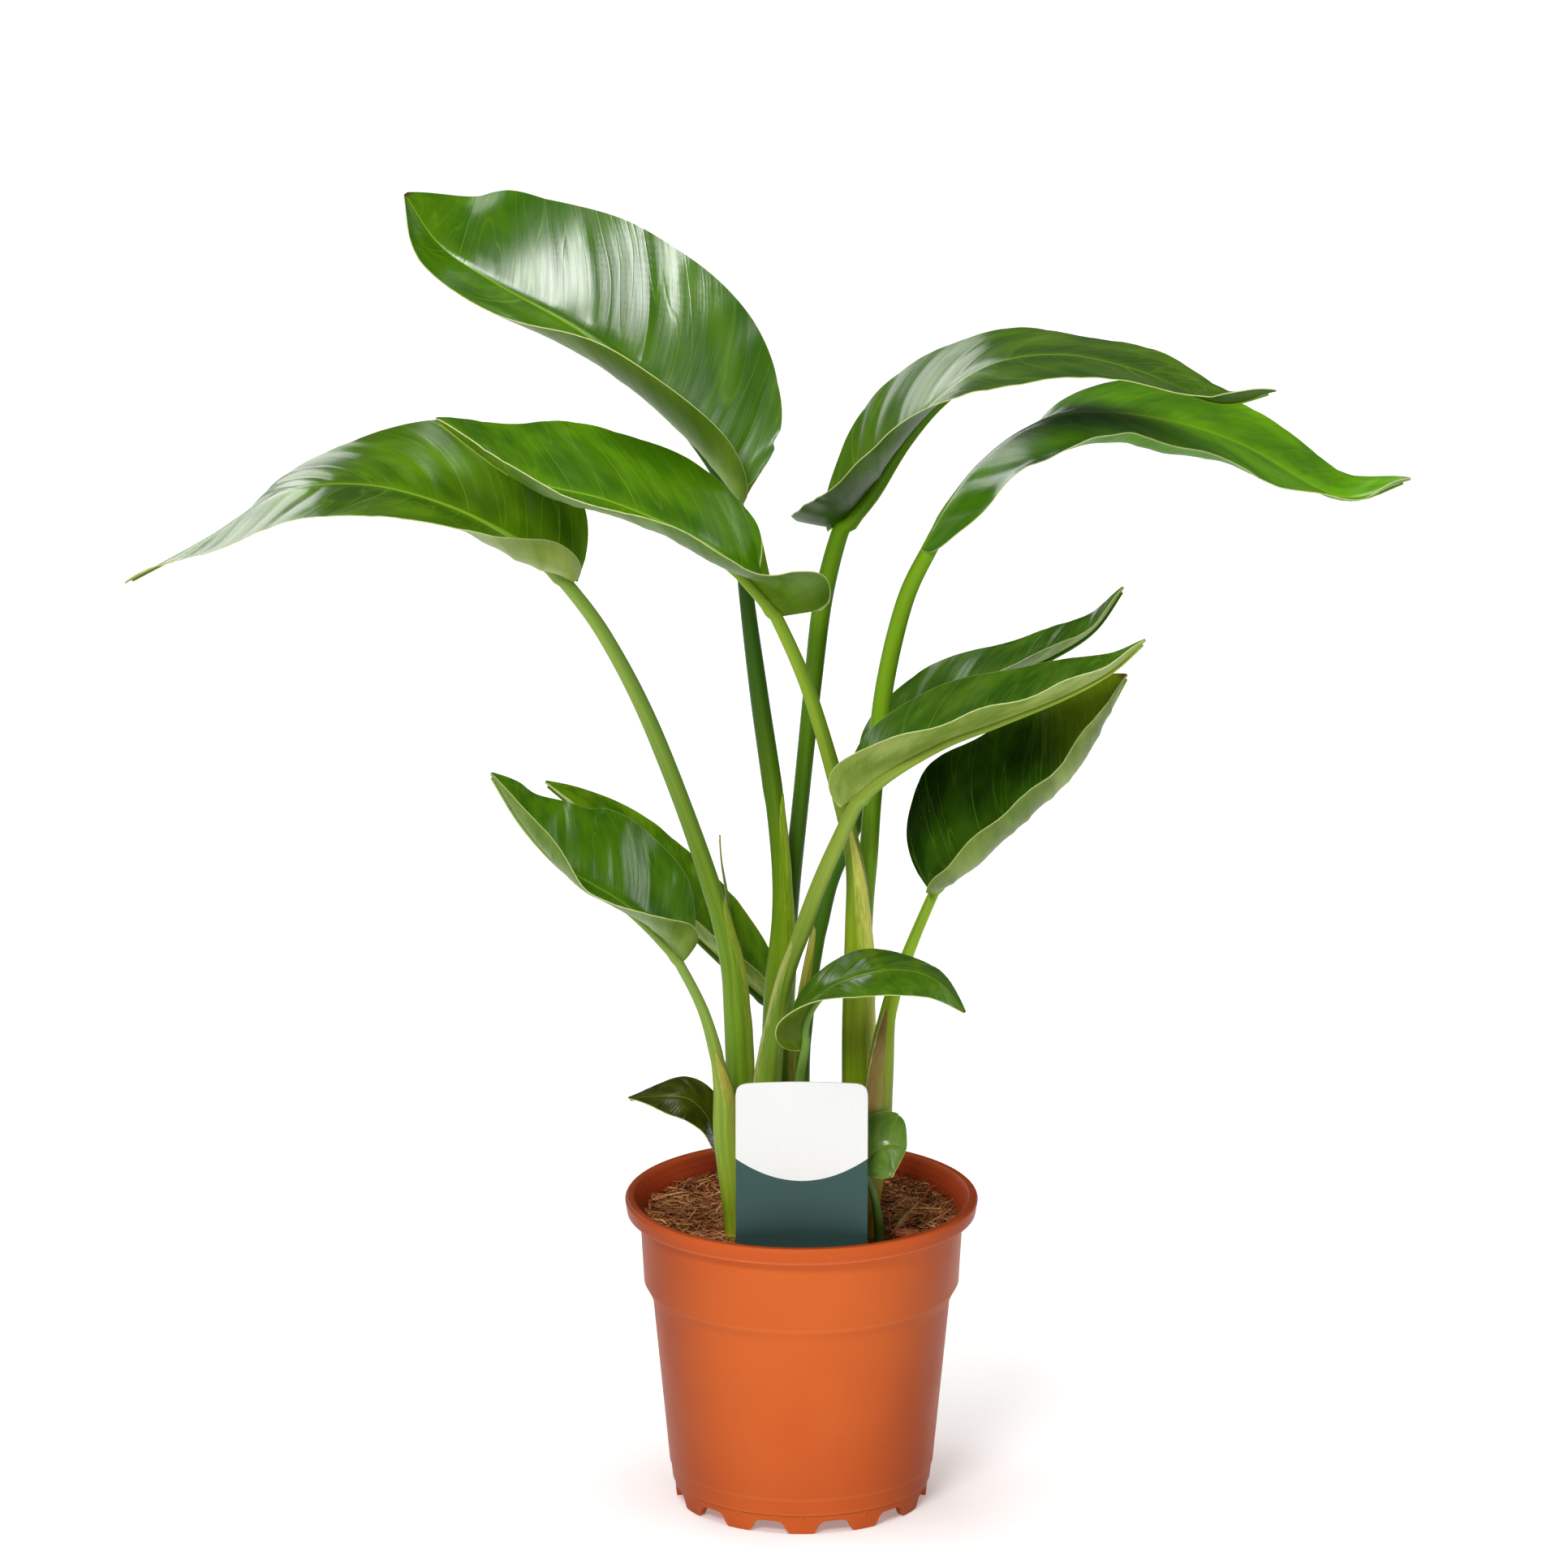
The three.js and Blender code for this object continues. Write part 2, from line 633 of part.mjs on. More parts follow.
// The bowed card with rounded top corners, which narrows to a stake in the soil
function tagSolid(grown = 0) {
  const points = [];
  const faces = [];
  const across = TAG_COLUMNS + 1;
  for (const layer of [-1, 1]) {
    TAG_ROWS.forEach(([z, half], i) => {
      const down = i === TAG_ROWS.length - 1 ? grown : 0;
      for (let j = 0; j < across; j += 1) {
        const x = (half + grown) * ((2 * j) / TAG_COLUMNS - 1);
        const y = TAG_Y + TAG_BOW * (1 - (x / 31.3) ** 2);
        points.push(new THREE.Vector3(x, y + layer * (TAG_THICKNESS / 2 + grown), z - down));
      }
    });
  }
  const back = TAG_ROWS.length * across;
  const id = (i, j) => i * across + j;
  for (let i = 0; i < TAG_ROWS.length - 1; i += 1) {
    for (let j = 0; j < TAG_COLUMNS; j += 1) {
      const quad = [id(i, j), id(i + 1, j), id(i + 1, j + 1), id(i, j + 1)];
      faces.push([quad[0], quad[1], quad[2]], [quad[0], quad[2], quad[3]]);
      faces.push([back + quad[0], back + quad[2], back + quad[1]]);
      faces.push([back + quad[0], back + quad[3], back + quad[2]]);
    }
  }
  const border = [];
  for (let i = 0; i < TAG_ROWS.length - 1; i += 1) border.push(id(i, 0));
  for (let j = 0; j < TAG_COLUMNS; j += 1) border.push(id(TAG_ROWS.length - 1, j));
  for (let i = TAG_ROWS.length - 1; i > 0; i -= 1) border.push(id(i, TAG_COLUMNS));
  for (let j = TAG_COLUMNS; j > 0; j -= 1) border.push(id(0, j));
  border.forEach((a, n) => {
    const b = border[(n + 1) % border.length];
    faces.push([a, back + a, back + b], [a, back + b, b]);
  });
  return solidFrom(points, faces);
}

// A flat bark chip, bedded in the soil
function chipSolid(grown = 0) {
  const [length, width, height] = CHIP_SIZE;
  const chip = new THREE.CylinderGeometry(1, 1, height + 2 * grown, 7);
  chip.rotateX(Math.PI / 2).scale(length / 2 + grown, width / 2 + grown, 1);
  chip.rotateY(CHIP_TILT).rotateZ(CHIP_TURN).translate(...CHIP_CENTRE);
  return solidOf(chip);
}

// A dry sheath tip that stands up out of the soil
function drySheath(grown = 0) {
  return rod(DRY_POINTS, DRY_RADII, 5, grown);
}

const group = new THREE.Group();
group.name = "potted_plant";

function addNode(name, solid, colour, roughness) {
  const made = solid.getMesh();
  const places = [];
  for (let i = 0; i < made.numVert; i += 1) {
    places.push(...made.vertProperties.slice(i * made.numProp, i * made.numProp + 3));
  }
  const geometry = new THREE.BufferGeometry();
  geometry.setAttribute("position", new THREE.Float32BufferAttribute(places, 3));
  geometry.setIndex([...made.triVerts]);
  geometry.computeVertexNormals();
  const material = new THREE.MeshStandardMaterial({ color: colour, roughness, metalness: 0 });
  material.flatShading = true;
  const mesh = new THREE.Mesh(geometry, material);
  mesh.name = name;
  group.add(mesh);
}

addNode("pot", potSolid(), "#c4602f", 0.45);

const holes = LEAVES.map((leaf) => stalkSolid(leaf, GAP));
holes.push(rod(SPEAR_POINTS, SPEAR_RADII, 10, GAP), tagSolid(GAP), chipSolid(GAP), drySheath(GAP));
addNode("soil", soilSolid(holes), "#5a3824", 0.95);

for (const leaf of LEAVES) addNode(leaf.name, leafSolid(leaf), leaf.colour, 0.4);
addNode("leaf_spear", rod(SPEAR_POINTS, SPEAR_RADII, 10), "#6f9a3a", 0.5);
addNode("plant_tag", tagSolid(), "#f2f2ef", 0.5);
addNode("bark_chip", chipSolid(), "#8a4a2a", 0.9);
addNode("dry_sheath", drySheath(), "#b98a4a", 0.8);

// The row's origin is the middle of the whole plant's box, on the surface it stands on
const box = new THREE.Box3().setFromObject(group);
const middle = box.getCenter(new THREE.Vector3());
group.children.forEach((mesh) => mesh.geometry.translate(-middle.x, -middle.y, -box.min.z));

export default group;
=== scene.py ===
"""A young giant white bird of paradise in its nursery pot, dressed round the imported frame.

Sizes are in millimetres about the pot's axis, with +Z up and -Y towards the card, until a mesh
is made: to_row() then brings them into the frame's metres.
"""

import logging
import math
import random
from collections.abc import Callable
from dataclasses import dataclass
from enum import Enum

import bpy
import numpy as np
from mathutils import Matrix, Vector, noise


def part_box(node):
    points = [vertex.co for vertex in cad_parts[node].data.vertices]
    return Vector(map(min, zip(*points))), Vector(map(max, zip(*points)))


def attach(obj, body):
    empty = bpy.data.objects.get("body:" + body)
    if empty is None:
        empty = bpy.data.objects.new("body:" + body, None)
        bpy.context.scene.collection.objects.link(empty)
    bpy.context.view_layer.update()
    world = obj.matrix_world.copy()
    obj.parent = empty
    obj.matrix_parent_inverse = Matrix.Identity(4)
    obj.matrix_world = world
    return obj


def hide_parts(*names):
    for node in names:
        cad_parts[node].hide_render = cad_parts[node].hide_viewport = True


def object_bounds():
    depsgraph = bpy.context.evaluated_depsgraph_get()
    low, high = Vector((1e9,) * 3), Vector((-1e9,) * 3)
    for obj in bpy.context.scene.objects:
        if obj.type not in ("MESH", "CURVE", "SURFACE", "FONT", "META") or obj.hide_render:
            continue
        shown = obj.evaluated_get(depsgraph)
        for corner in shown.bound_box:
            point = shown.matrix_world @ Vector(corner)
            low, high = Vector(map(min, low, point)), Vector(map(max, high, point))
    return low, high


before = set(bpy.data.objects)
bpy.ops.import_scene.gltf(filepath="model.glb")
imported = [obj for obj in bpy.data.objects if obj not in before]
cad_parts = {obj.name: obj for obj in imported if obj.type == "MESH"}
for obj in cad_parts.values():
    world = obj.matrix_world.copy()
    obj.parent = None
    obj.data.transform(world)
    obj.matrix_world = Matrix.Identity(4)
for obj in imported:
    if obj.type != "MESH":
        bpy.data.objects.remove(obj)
CAD_BOX = np.array(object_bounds())

LOG = logging.getLogger("potted_plant")
MM = 0.001
POT_LOW, POT_HIGH = (Vector(corner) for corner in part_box("pot"))
POT_AXIS = np.array([(POT_LOW.x + POT_HIGH.x) / 2, (POT_LOW.y + POT_HIGH.y) / 2, 0.0])

SOIL_TOP = 139.0
STEM_END = 112.0

Numbers = tuple[float, ...]
Points = tuple[Numbers, ...]
Colour = tuple[float, float, float, float]
Value = float | int | tuple | bpy.types.NodeSocket
Outputs = bpy.types.bpy_prop_collection


# Numbers and curves

PATH_SAMPLES = 600


def to_row(points: np.ndarray) -> np.ndarray:
    """Points in mm about the pot's axis, in the frame's metres."""
    return points * MM + POT_AXIS


def paint(red: float, green: float, blue: float) -> Colour:
    """A colour as it is seen, 0 to 255 a channel, in the linear values that shaders take."""
    seen = (red / 255, green / 255, blue / 255)
    linear = [c / 12.92 if c <= 0.04045 else ((c + 0.055) / 1.055) ** 2.4 for c in seen]
    return (*linear, 1.0)


def unit(vectors: np.ndarray) -> np.ndarray:
    """The same directions at length 1."""
    return vectors / np.maximum(np.linalg.norm(vectors, axis=-1, keepdims=True), 1e-9)


def walked(points: np.ndarray) -> np.ndarray:
    """How far along a path each of its points lies."""
    return np.concatenate([[0], np.cumsum(np.linalg.norm(np.diff(points, axis=0), axis=1))])


def turned(points: np.ndarray, axes: tuple[int, int], angle: float) -> np.ndarray:
    """The points turned by an angle, in radians, from the first of two axes towards the second."""
    first, second = points[:, axes[0]], points[:, axes[1]]
    made = points.copy()
    made[:, axes[0]] = math.cos(angle) * first - math.sin(angle) * second
    made[:, axes[1]] = math.sin(angle) * first + math.cos(angle) * second
    return made


def spread(values: tuple, place: np.ndarray) -> np.ndarray:
    """Values of a short list that is spread evenly from 0 to 1, on a smooth curve.

    Args:
        values: numbers, or points of three numbers each.
        place: where to read the curve, from 0 to 1.

    Returns:
        One value or point for each place.
    """
    knots = np.asarray(values, float).reshape(len(values), -1)
    last = len(knots) - 1
    at = np.clip(place, 0, 1) * last
    i = np.minimum(np.floor(at).astype(int), last - 1)
    w = (at - i)[:, None]
    ends = np.vstack([2 * knots[0] - knots[1], knots, 2 * knots[-1] - knots[-2]])
    before, start, stop, after = ends[i], ends[i + 1], ends[i + 2], ends[i + 3]
    slope_in, slope_out = (stop - before) / 2, (after - start) / 2
    bend = 3 * (stop - start) - 2 * slope_in - slope_out
    twist = slope_in + slope_out - 2 * (stop - start)
    found = start + w * (slope_in + w * (bend + w * twist))
    return found[:, 0] if found.shape[1] == 1 else found


def even_path(points: Points, count: int) -> np.ndarray:
    """count + 1 points, evenly spaced along the smooth curve through the given ones."""
    dense = spread(points, np.linspace(0, 1, PATH_SAMPLES))
    far = walked(dense)
    steps = np.linspace(0, far[-1], count + 1)
    return np.column_stack([np.interp(steps, far, dense[:, k]) for k in range(3)])


def smooth_step(value: np.ndarray, low: float, high: float) -> np.ndarray:
    """0 below low, 1 above high, and an S-curve between them."""
    t = np.clip((value - low) / (high - low), 0, 1)
    return t * t * (3 - 2 * t)


# Modelling by hand: primitives, edit mode and applied modifiers


def fresh(name: str, add: Callable, **settings: object) -> bpy.types.Object:
    """Adds a primitive with nothing else selected.

    Args:
        name: the new piece's name.
        add: the bpy.ops call that adds it.
        settings: what that call takes.

    Returns:
        The new object, selected and active.
    """
    bpy.ops.object.select_all(action="DESELECT")
    add(**settings)
    piece = bpy.context.object
    piece.name = name
    piece.data.name = name
    return piece


def take_up(*pieces: bpy.types.Object) -> None:
    """Selects these pieces alone, the first one active."""
    bpy.ops.object.select_all(action="DESELECT")
    for piece in pieces:
        piece.select_set(True)
    bpy.context.view_layer.objects.active = pieces[0]


def apply_modifier(piece: bpy.types.Object, kind: str, **settings: object) -> None:
    """Gives the piece a modifier with these settings and applies it."""
    take_up(piece)
    made = piece.modifiers.new(kind.lower(), kind)
    for key, value in settings.items():
        setattr(made, key, value)
    bpy.ops.object.modifier_apply(modifier=made.name)


def thicken(piece: bpy.types.Object, thickness: float, **settings: object) -> None:
    """Gives a sheet its thickness in mm, half of it to each side."""
    apply_modifier(piece, "SOLIDIFY", thickness=thickness * MM, offset=0, **settings)


def in_edit_mode(piece: bpy.types.Object, *steps: Callable) -> None:
    """Runs edit-mode steps on the whole piece, selected all over."""
    take_up(piece)
    bpy.ops.object.mode_set(mode="EDIT")
    bpy.ops.mesh.select_all(action="SELECT")
    for step in steps:
        step()
    bpy.ops.object.mode_set(mode="OBJECT")


def weld() -> None:
    """Merges the points that lie on each other, such as those of a seam."""
    bpy.ops.mesh.select_all(action="SELECT")
    bpy.ops.mesh.remove_doubles(threshold=1e-6)


def close_ends() -> None:
    """Fills every open end."""
    bpy.ops.mesh.select_all(action="SELECT")
    bpy.ops.mesh.fill_holes(sides=0)


def face_out() -> None:
    """Turns every face of a closed piece outward."""
    bpy.ops.mesh.select_all(action="SELECT")
    bpy.ops.mesh.normals_make_consistent(inside=False)


def smooth(piece: bpy.types.Object, degrees: float) -> None:
    """Shades the piece smooth, with sharp edges where faces meet at more than this angle."""
    take_up(piece)
    bpy.ops.object.shade_smooth_by_angle(angle=math.radians(degrees))


def fuse(pieces: list[bpy.types.Object]) -> bpy.types.Object:
    """Joins pieces into the first one."""
    take_up(*pieces)
    bpy.ops.object.join()
    return pieces[0]


def points_of(piece: bpy.types.Object) -> np.ndarray:
    """The piece's points, as its mesh holds them."""
    flat = np.empty(3 * len(piece.data.vertices))
    piece.data.vertices.foreach_get("co", flat)
    return flat.reshape(-1, 3)


def move_points(piece: bpy.types.Object, points: np.ndarray) -> None:
    """Puts the piece's points at these places, in its mesh's own units."""
    piece.data.vertices.foreach_set("co", np.ascontiguousarray(points, dtype=float).ravel())
    piece.data.update()


def mark(piece: bpy.types.Object, name: str, *values: np.ndarray | float) -> None:
    """Stores up to three numbers for each point, which the finishes read by name."""
    three = np.zeros((len(piece.data.vertices), 3))
    for k, value in enumerate(values):
        three[:, k] = value
    layer = piece.data.attributes.new(name, "FLOAT_VECTOR", "POINT")
    layer.data.foreach_set("vector", three.ravel())


def shaped_grid(name: str, along: int, across: int) -> tuple[bpy.types.Object, np.ndarray, np.ndarray]:
    """A grid primitive that is ready to be laid on a surface.

    Args:
        name: the piece's name.
        along: faces along it.
        across: faces across it.

    Returns:
        The piece, and each point's place along and across it, from 0 to 1.
    """
    piece = fresh(
        name, bpy.ops.mesh.primitive_grid_add, x_subdivisions=along, y_subdivisions=across, size=1
    )
    flat = points_of(piece)
    return piece, flat[:, 0] + 0.5, flat[:, 1] + 0.5


def dress(piece: bpy.types.Object, *finishes: bpy.types.Material) -> None:
    """Fills the piece's material slots, in order."""
    piece.data.materials.clear()
    for finish in finishes:
        piece.data.materials.append(finish)


def hand_over(piece: bpy.types.Object, node: str) -> bpy.types.Object:
    """Hangs a finished piece on the root body, and hides the node that it takes the place of."""
    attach(piece, "root")
    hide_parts(node)
    return piece


# Finishes


class Graph:
    """Adds nodes to a tree and links them, so that a finish reads as a formula."""

    def __init__(self, tree: bpy.types.NodeTree) -> None:
        """Starts on an empty tree."""
        self.tree = tree
        tree.nodes.clear()

    def node(self, kind: str, inputs: dict | None = None, **settings: object) -> bpy.types.Node:
        """Adds one node.

        Args:
            kind: the node's type.
            inputs: a value or a socket for each input, by its name or number.
            settings: the node's own options.

        Returns:
            The node.
        """
        made = self.tree.nodes.new(kind)
        for key, value in settings.items():
            setattr(made, key, value)
        for key, value in (inputs or {}).items():
            if isinstance(value, bpy.types.NodeSocket):
                self.tree.links.new(value, made.inputs[key])
            else:
                made.inputs[key].default_value = value
        return made

    def math(self, operation: str, *values: Value) -> bpy.types.NodeSocket:
        """A sum, product or other operation on numbers."""
        return self.node("ShaderNodeMath", dict(enumerate(values)), operation=operation).outputs[0]

    def ease(
        self, value: Value, low: float, high: float, to_low: float = 0.0, to_high: float = 1.0
    ) -> bpy.types.NodeSocket:
        """A smooth rise from to_low at low to to_high at high, and level outside them."""
        inputs = {0: value, 1: low, 2: high, 3: to_low, 4: to_high}
        kind = "ShaderNodeMapRange"
        return self.node(kind, inputs, interpolation_type="SMOOTHSTEP").outputs[0]

    def mix(self, share: Value, first: Value, second: Value, blend: str = "MIX") -> bpy.types.NodeSocket:
        """Two colours mixed, with the second one's share from 0 to 1."""
        inputs = {0: share, 6: first, 7: second}
        return self.node("ShaderNodeMix", inputs, data_type="RGBA", blend_type=blend).outputs[2]

    def over(self, colour: Value, other: Value, value: Value, *rise: float) -> bpy.types.NodeSocket:
        """The colour with another laid over it, whose share follows value as ease() says."""
        return self.mix(self.ease(value, *rise), colour, other)

    def tint(self, colour: Value, red: float, green: float, blue: float) -> bpy.types.NodeSocket:
        """The colour with each channel multiplied."""
        return self.mix(1.0, colour, (red, green, blue, 1.0), "MULTIPLY")

    def vector(self, *values: Value) -> bpy.types.NodeSocket:
        """Three numbers as one place."""
        return self.node("ShaderNodeCombineXYZ", dict(enumerate(values))).outputs[0]

    def split(self, vector: Value) -> tuple:
        """A vector's three numbers."""
        return tuple(self.node("ShaderNodeSeparateXYZ", {0: vector}).outputs)

    def parts(self, name: str) -> tuple:
        """The three numbers that a piece's points carry under this name."""
        return self.split(self.node("ShaderNodeAttribute", attribute_name=name).outputs["Vector"])

    def place(self) -> bpy.types.NodeSocket:
        """Where a point is, in metres in the frame."""
        return self.node("ShaderNodeTexCoord").outputs["Object"]

    def noise(self, where: Value, scale: float, detail: float, rough: float) -> bpy.types.NodeSocket:
        """Cloudy noise from 0 to 1."""
        inputs = {"Vector": where, "Scale": scale, "Detail": detail, "Roughness": rough}
        return self.node("ShaderNodeTexNoise", inputs).outputs[0]

    def clouds(self, scale: float, detail: float = 2, rough: float = 0.5) -> bpy.types.NodeSocket:
        """Cloudy noise from 0 to 1 that stands still in the frame."""
        return self.noise(self.place(), scale, detail, rough)

    def specks(self, dots: Numbers, patches: Numbers) -> bpy.types.NodeSocket:
        """Small dots that lie in a few patches.

        Args:
            dots: their cells' scale, and the distances at which a dot is full and gone.
            patches: the patches' scale, and the noise at which a patch starts and is full.

        Returns:
            Their share, from 0 to 0.5.
        """
        scale, full, gone = dots
        dot = self.node("ShaderNodeTexVoronoi", {"Vector": self.place(), "Scale": scale}).outputs[0]
        scale, start, stop = patches
        patch = self.ease(self.clouds(scale, 0.0), start, stop)
        return self.math("MULTIPLY", self.ease(dot, full, gone, 0.5, 0.0), patch)

    def bump(self, height: Value, strength: float, distance: float) -> bpy.types.NodeSocket:
        """A normal for fine relief, distance in metres."""
        inputs = {"Strength": strength, "Distance": distance, "Height": height}
        return self.node("ShaderNodeBump", inputs).outputs[0]

    def surface(self, colour: Value, rough: Value, normal: Value | None = None, **extra: Value) -> None:
        """Ends a material in one Principled shader.

        Args:
            colour: its base colour.
            rough: its roughness.
            normal: its fine relief, where it has any.
            extra: other inputs of the shader, with _ for each space in a name.
        """
        inputs = {"Base Color": colour, "Roughness": rough}
        if normal is not None:
            inputs["Normal"] = normal
        inputs.update({key.replace("_", " "): value for key, value in extra.items()})
        shader = self.node("ShaderNodeBsdfPrincipled", inputs)
        self.node("ShaderNodeOutputMaterial", {"Surface": shader.outputs[0]})


@dataclass(frozen=True)
class Effect:
    """A shared effect: a node group that is built at its first use.

    inputs, outputs: the names of its numbers
    fill: makes the outputs from the graph and the input sockets
    """

    name: str
    inputs: tuple[str, ...]
    outputs: tuple[str, ...]
    fill: Callable

    def tree(self) -> bpy.types.NodeTree:
        """The group, built when it isn't there yet."""
        if self.name in bpy.data.node_groups:
            return bpy.data.node_groups[self.name]
        tree = bpy.data.node_groups.new(self.name, "ShaderNodeTree")
        for way, keys in (("INPUT", self.inputs), ("OUTPUT", self.outputs)):
            for key in keys:
                tree.interface.new_socket(key, in_out=way, socket_type="NodeSocketFloat")
        g = Graph(tree)
        given = g.node("NodeGroupInput").outputs[: len(self.inputs)]
        g.node("NodeGroupOutput", dict(zip(self.outputs, self.fill(g, *given))))
        return tree

    def use(self, g: Graph, *values: Value) -> Outputs:
        """Places the effect with these inputs, and gives its outputs by name."""
        return g.node("ShaderNodeGroup", dict(zip(self.inputs, values)), node_tree=self.tree()).outputs


def vein_lines(g: Graph, along: Value, across: Value, count: Value, start: Value) -> tuple:
    """Fine veins, a few pale ones, and clouds drawn out along them."""
    layer = g.math("MULTIPLY_ADD", g.math("SIGN", across), 31.7, start)
    size = g.math("ABSOLUTE", across)

    def drawn(thick: Value, long: float, detail: float) -> bpy.types.NodeSocket:
        """Noise with so many bands along the rib and so many changes across the half."""
        where = g.vector(g.math("MULTIPLY", along, thick), g.math("MULTIPLY", size, long), layer)
        return g.noise(where, 1.0, detail, 0.6)

    ridge = g.math("ABSOLUTE", g.math("SUBTRACT", drawn(26.0, 0.8, 0.0), 0.5))
    return drawn(count, 2.5, 2.0), g.ease(ridge, 0.0, 0.03, 1.0, 0.0), drawn(8.0, 1.7, 2.0)


def stem_strands(g: Graph, along: Value, turn: Value, radius: Value) -> tuple:
    """Strands and wider streaks that run along a stem and change slowly."""
    strand = g.vector(
        g.math("MULTIPLY", g.math("COSINE", turn), radius),
        g.math("MULTIPLY", g.math("SINE", turn), radius),
        g.math("MULTIPLY", along, 0.02),
    )
    return g.noise(strand, 2.2, 2.0, 0.6), g.noise(strand, 0.3, 1.0, 0.5)


VEINS = Effect(
    "side veins", ("Along", "Across", "Count", "Start"), ("Fine", "Lines", "Clouds"), vein_lines
)
GRAIN = Effect("stem grain", ("Along", "Turn", "Radius"), ("Strands", "Streaks"), stem_strands)

MARGIN_CREAM = paint(208, 215, 150)
SCAR_TAN = paint(120, 100, 60)
DUST_PALE = paint(190, 200, 150)
UNDER_VEINS = 150.0


class Finish:
    """A finish: each kind has its own fill()."""

    def fill(self, g: Graph) -> None:
        """Fills a material's graph."""
        raise NotImplementedError

    def make(self, name: str) -> bpy.types.Material:
        """Builds the material under this name."""
        made = bpy.data.materials.new(name)
        made.use_nodes = True
        self.fill(Graph(made.node_tree))
        return made


def veined(
    g: Graph,
    ground: Value,
    veins: Outputs,
    phase: Value,
    vein_tint: Numbers,
    crease_shade: Numbers,
    depth: float,
) -> tuple:
    """Darkens a blade along its fine veins, and paints shade into its creases.

    Args:
        g: the material's graph.
        ground: the blade's colour so far.
        veins: the outputs of VEINS.
        phase: the count that passes a whole number in each crease.
        vein_tint: what the colour is multiplied by along the veins.
        crease_shade: the painted shade that it is multiplied by in the creases.
        depth: how strong the painted crease shade is, from 0 to 1.

    Returns:
        The colour, the fine veins, and how far from a crease a point is, each from 0 to 1.
    """
    fine = g.ease(veins["Fine"], 0.3, 0.7)
    colour = g.mix(g.math("MULTIPLY", fine, 0.5), ground, g.tint(ground, *vein_tint))
    crease = g.math("ABSOLUTE", g.math("SINE", g.math("MULTIPLY", phase, math.pi)))
    # painted shade: the colour darkens along each crease line
    return g.over(colour, g.tint(colour, *crease_shade), crease, 0.0, 0.3, depth, 0.0), fine, crease


@dataclass(frozen=True)
class BladeTop(Finish):
    """The glossy upper side of a blade.

    deep, bright: the two greens that it wanders between
    rib: colour of the midrib's line
    rib_width: half the width of that line at the base, mm
    veins: how many fine veins along one half
    shine: roughness
    tip, tip_from: colour of the last of the tip, and where along the rib it starts
    young: the painted glow of light shining through the blade, the green that it turns to on its outer half,
    where it does
    seed: where its own noise starts
    """

    deep: Colour
    bright: Colour
    rib: Colour = paint(126, 168, 40)
    rib_width: float = 1.3
    veins: float = 150.0
    shine: float = 0.15
    tip: Colour = paint(70, 50, 25)
    tip_from: float = 0.985
    backlit_glow: Colour | None = None
    seed: float = 0.0

    def fill(self, g: Graph) -> None:
        """Greens in clouds, veins and painted shade in the creases, then the rib's line, the tip and the
        margin.
        """
        along, across, vein = g.parts("blade_place")
        from_rib, from_margin, phase = g.parts("blade_reach")
        veins = VEINS.use(g, vein, across, self.veins, self.seed)
        colour = g.over(self.deep, self.bright, veins["Clouds"], 0.3, 0.75)
        # painted light: the outer half turns towards the glow of light shining through the blade
        if self.backlit_glow:
            colour = g.over(colour, self.backlit_glow, along, 0.5, 0.92, 0.0, 0.85)
        # the first tint darkens the fine veins, the second is painted shade in the creases
        vein_tint_and_crease_shade = (0.74, 0.8, 0.7), (0.66, 0.72, 0.6)
        colour, fine, crease = veined(g, colour, veins, phase, *vein_tint_and_crease_shade, 0.35)
        thin = g.ease(from_margin, 4.0, 20.0, 0.1, 0.34)
        colour = g.mix(g.math("MULTIPLY", thin, g.ease(crease, 0.0, 0.08, 1.0, 0.0)), colour, self.rib)
        colour = g.mix(g.math("MULTIPLY", veins["Lines"], 0.16), colour, self.rib)
        colour = g.over(colour, self.bright, from_rib, 0.0, 8.0, 0.4, 0.0)
        width = g.math("MULTIPLY_ADD", along, -0.75 * self.rib_width, self.rib_width)
        colour = g.over(colour, self.rib, g.math("DIVIDE", from_rib, width), 0.3, 1.4, 0.85, 0.0)
        colour = g.mix(g.specks((260.0, 0.04, 0.09), (90.0, 0.68, 0.74)), colour, DUST_PALE)
        colour = g.over(colour, self.tip, along, self.tip_from, min(self.tip_from + 0.03, 1.0))
        colour = g.over(colour, MARGIN_CREAM, from_margin, 0.05, 0.35, 0.35, 0.0)
        patch = g.ease(g.clouds(22.0), 0.3, 0.7, self.shine, self.shine + 0.07)
        rough = g.math("MULTIPLY_ADD", fine, 0.07, patch)
        relief = g.math("MULTIPLY_ADD", veins["Lines"], -0.5, veins["Fine"])
        g.surface(colour, rough, g.bump(relief, 0.13, 0.0003), Specular_IOR_Level=0.42)


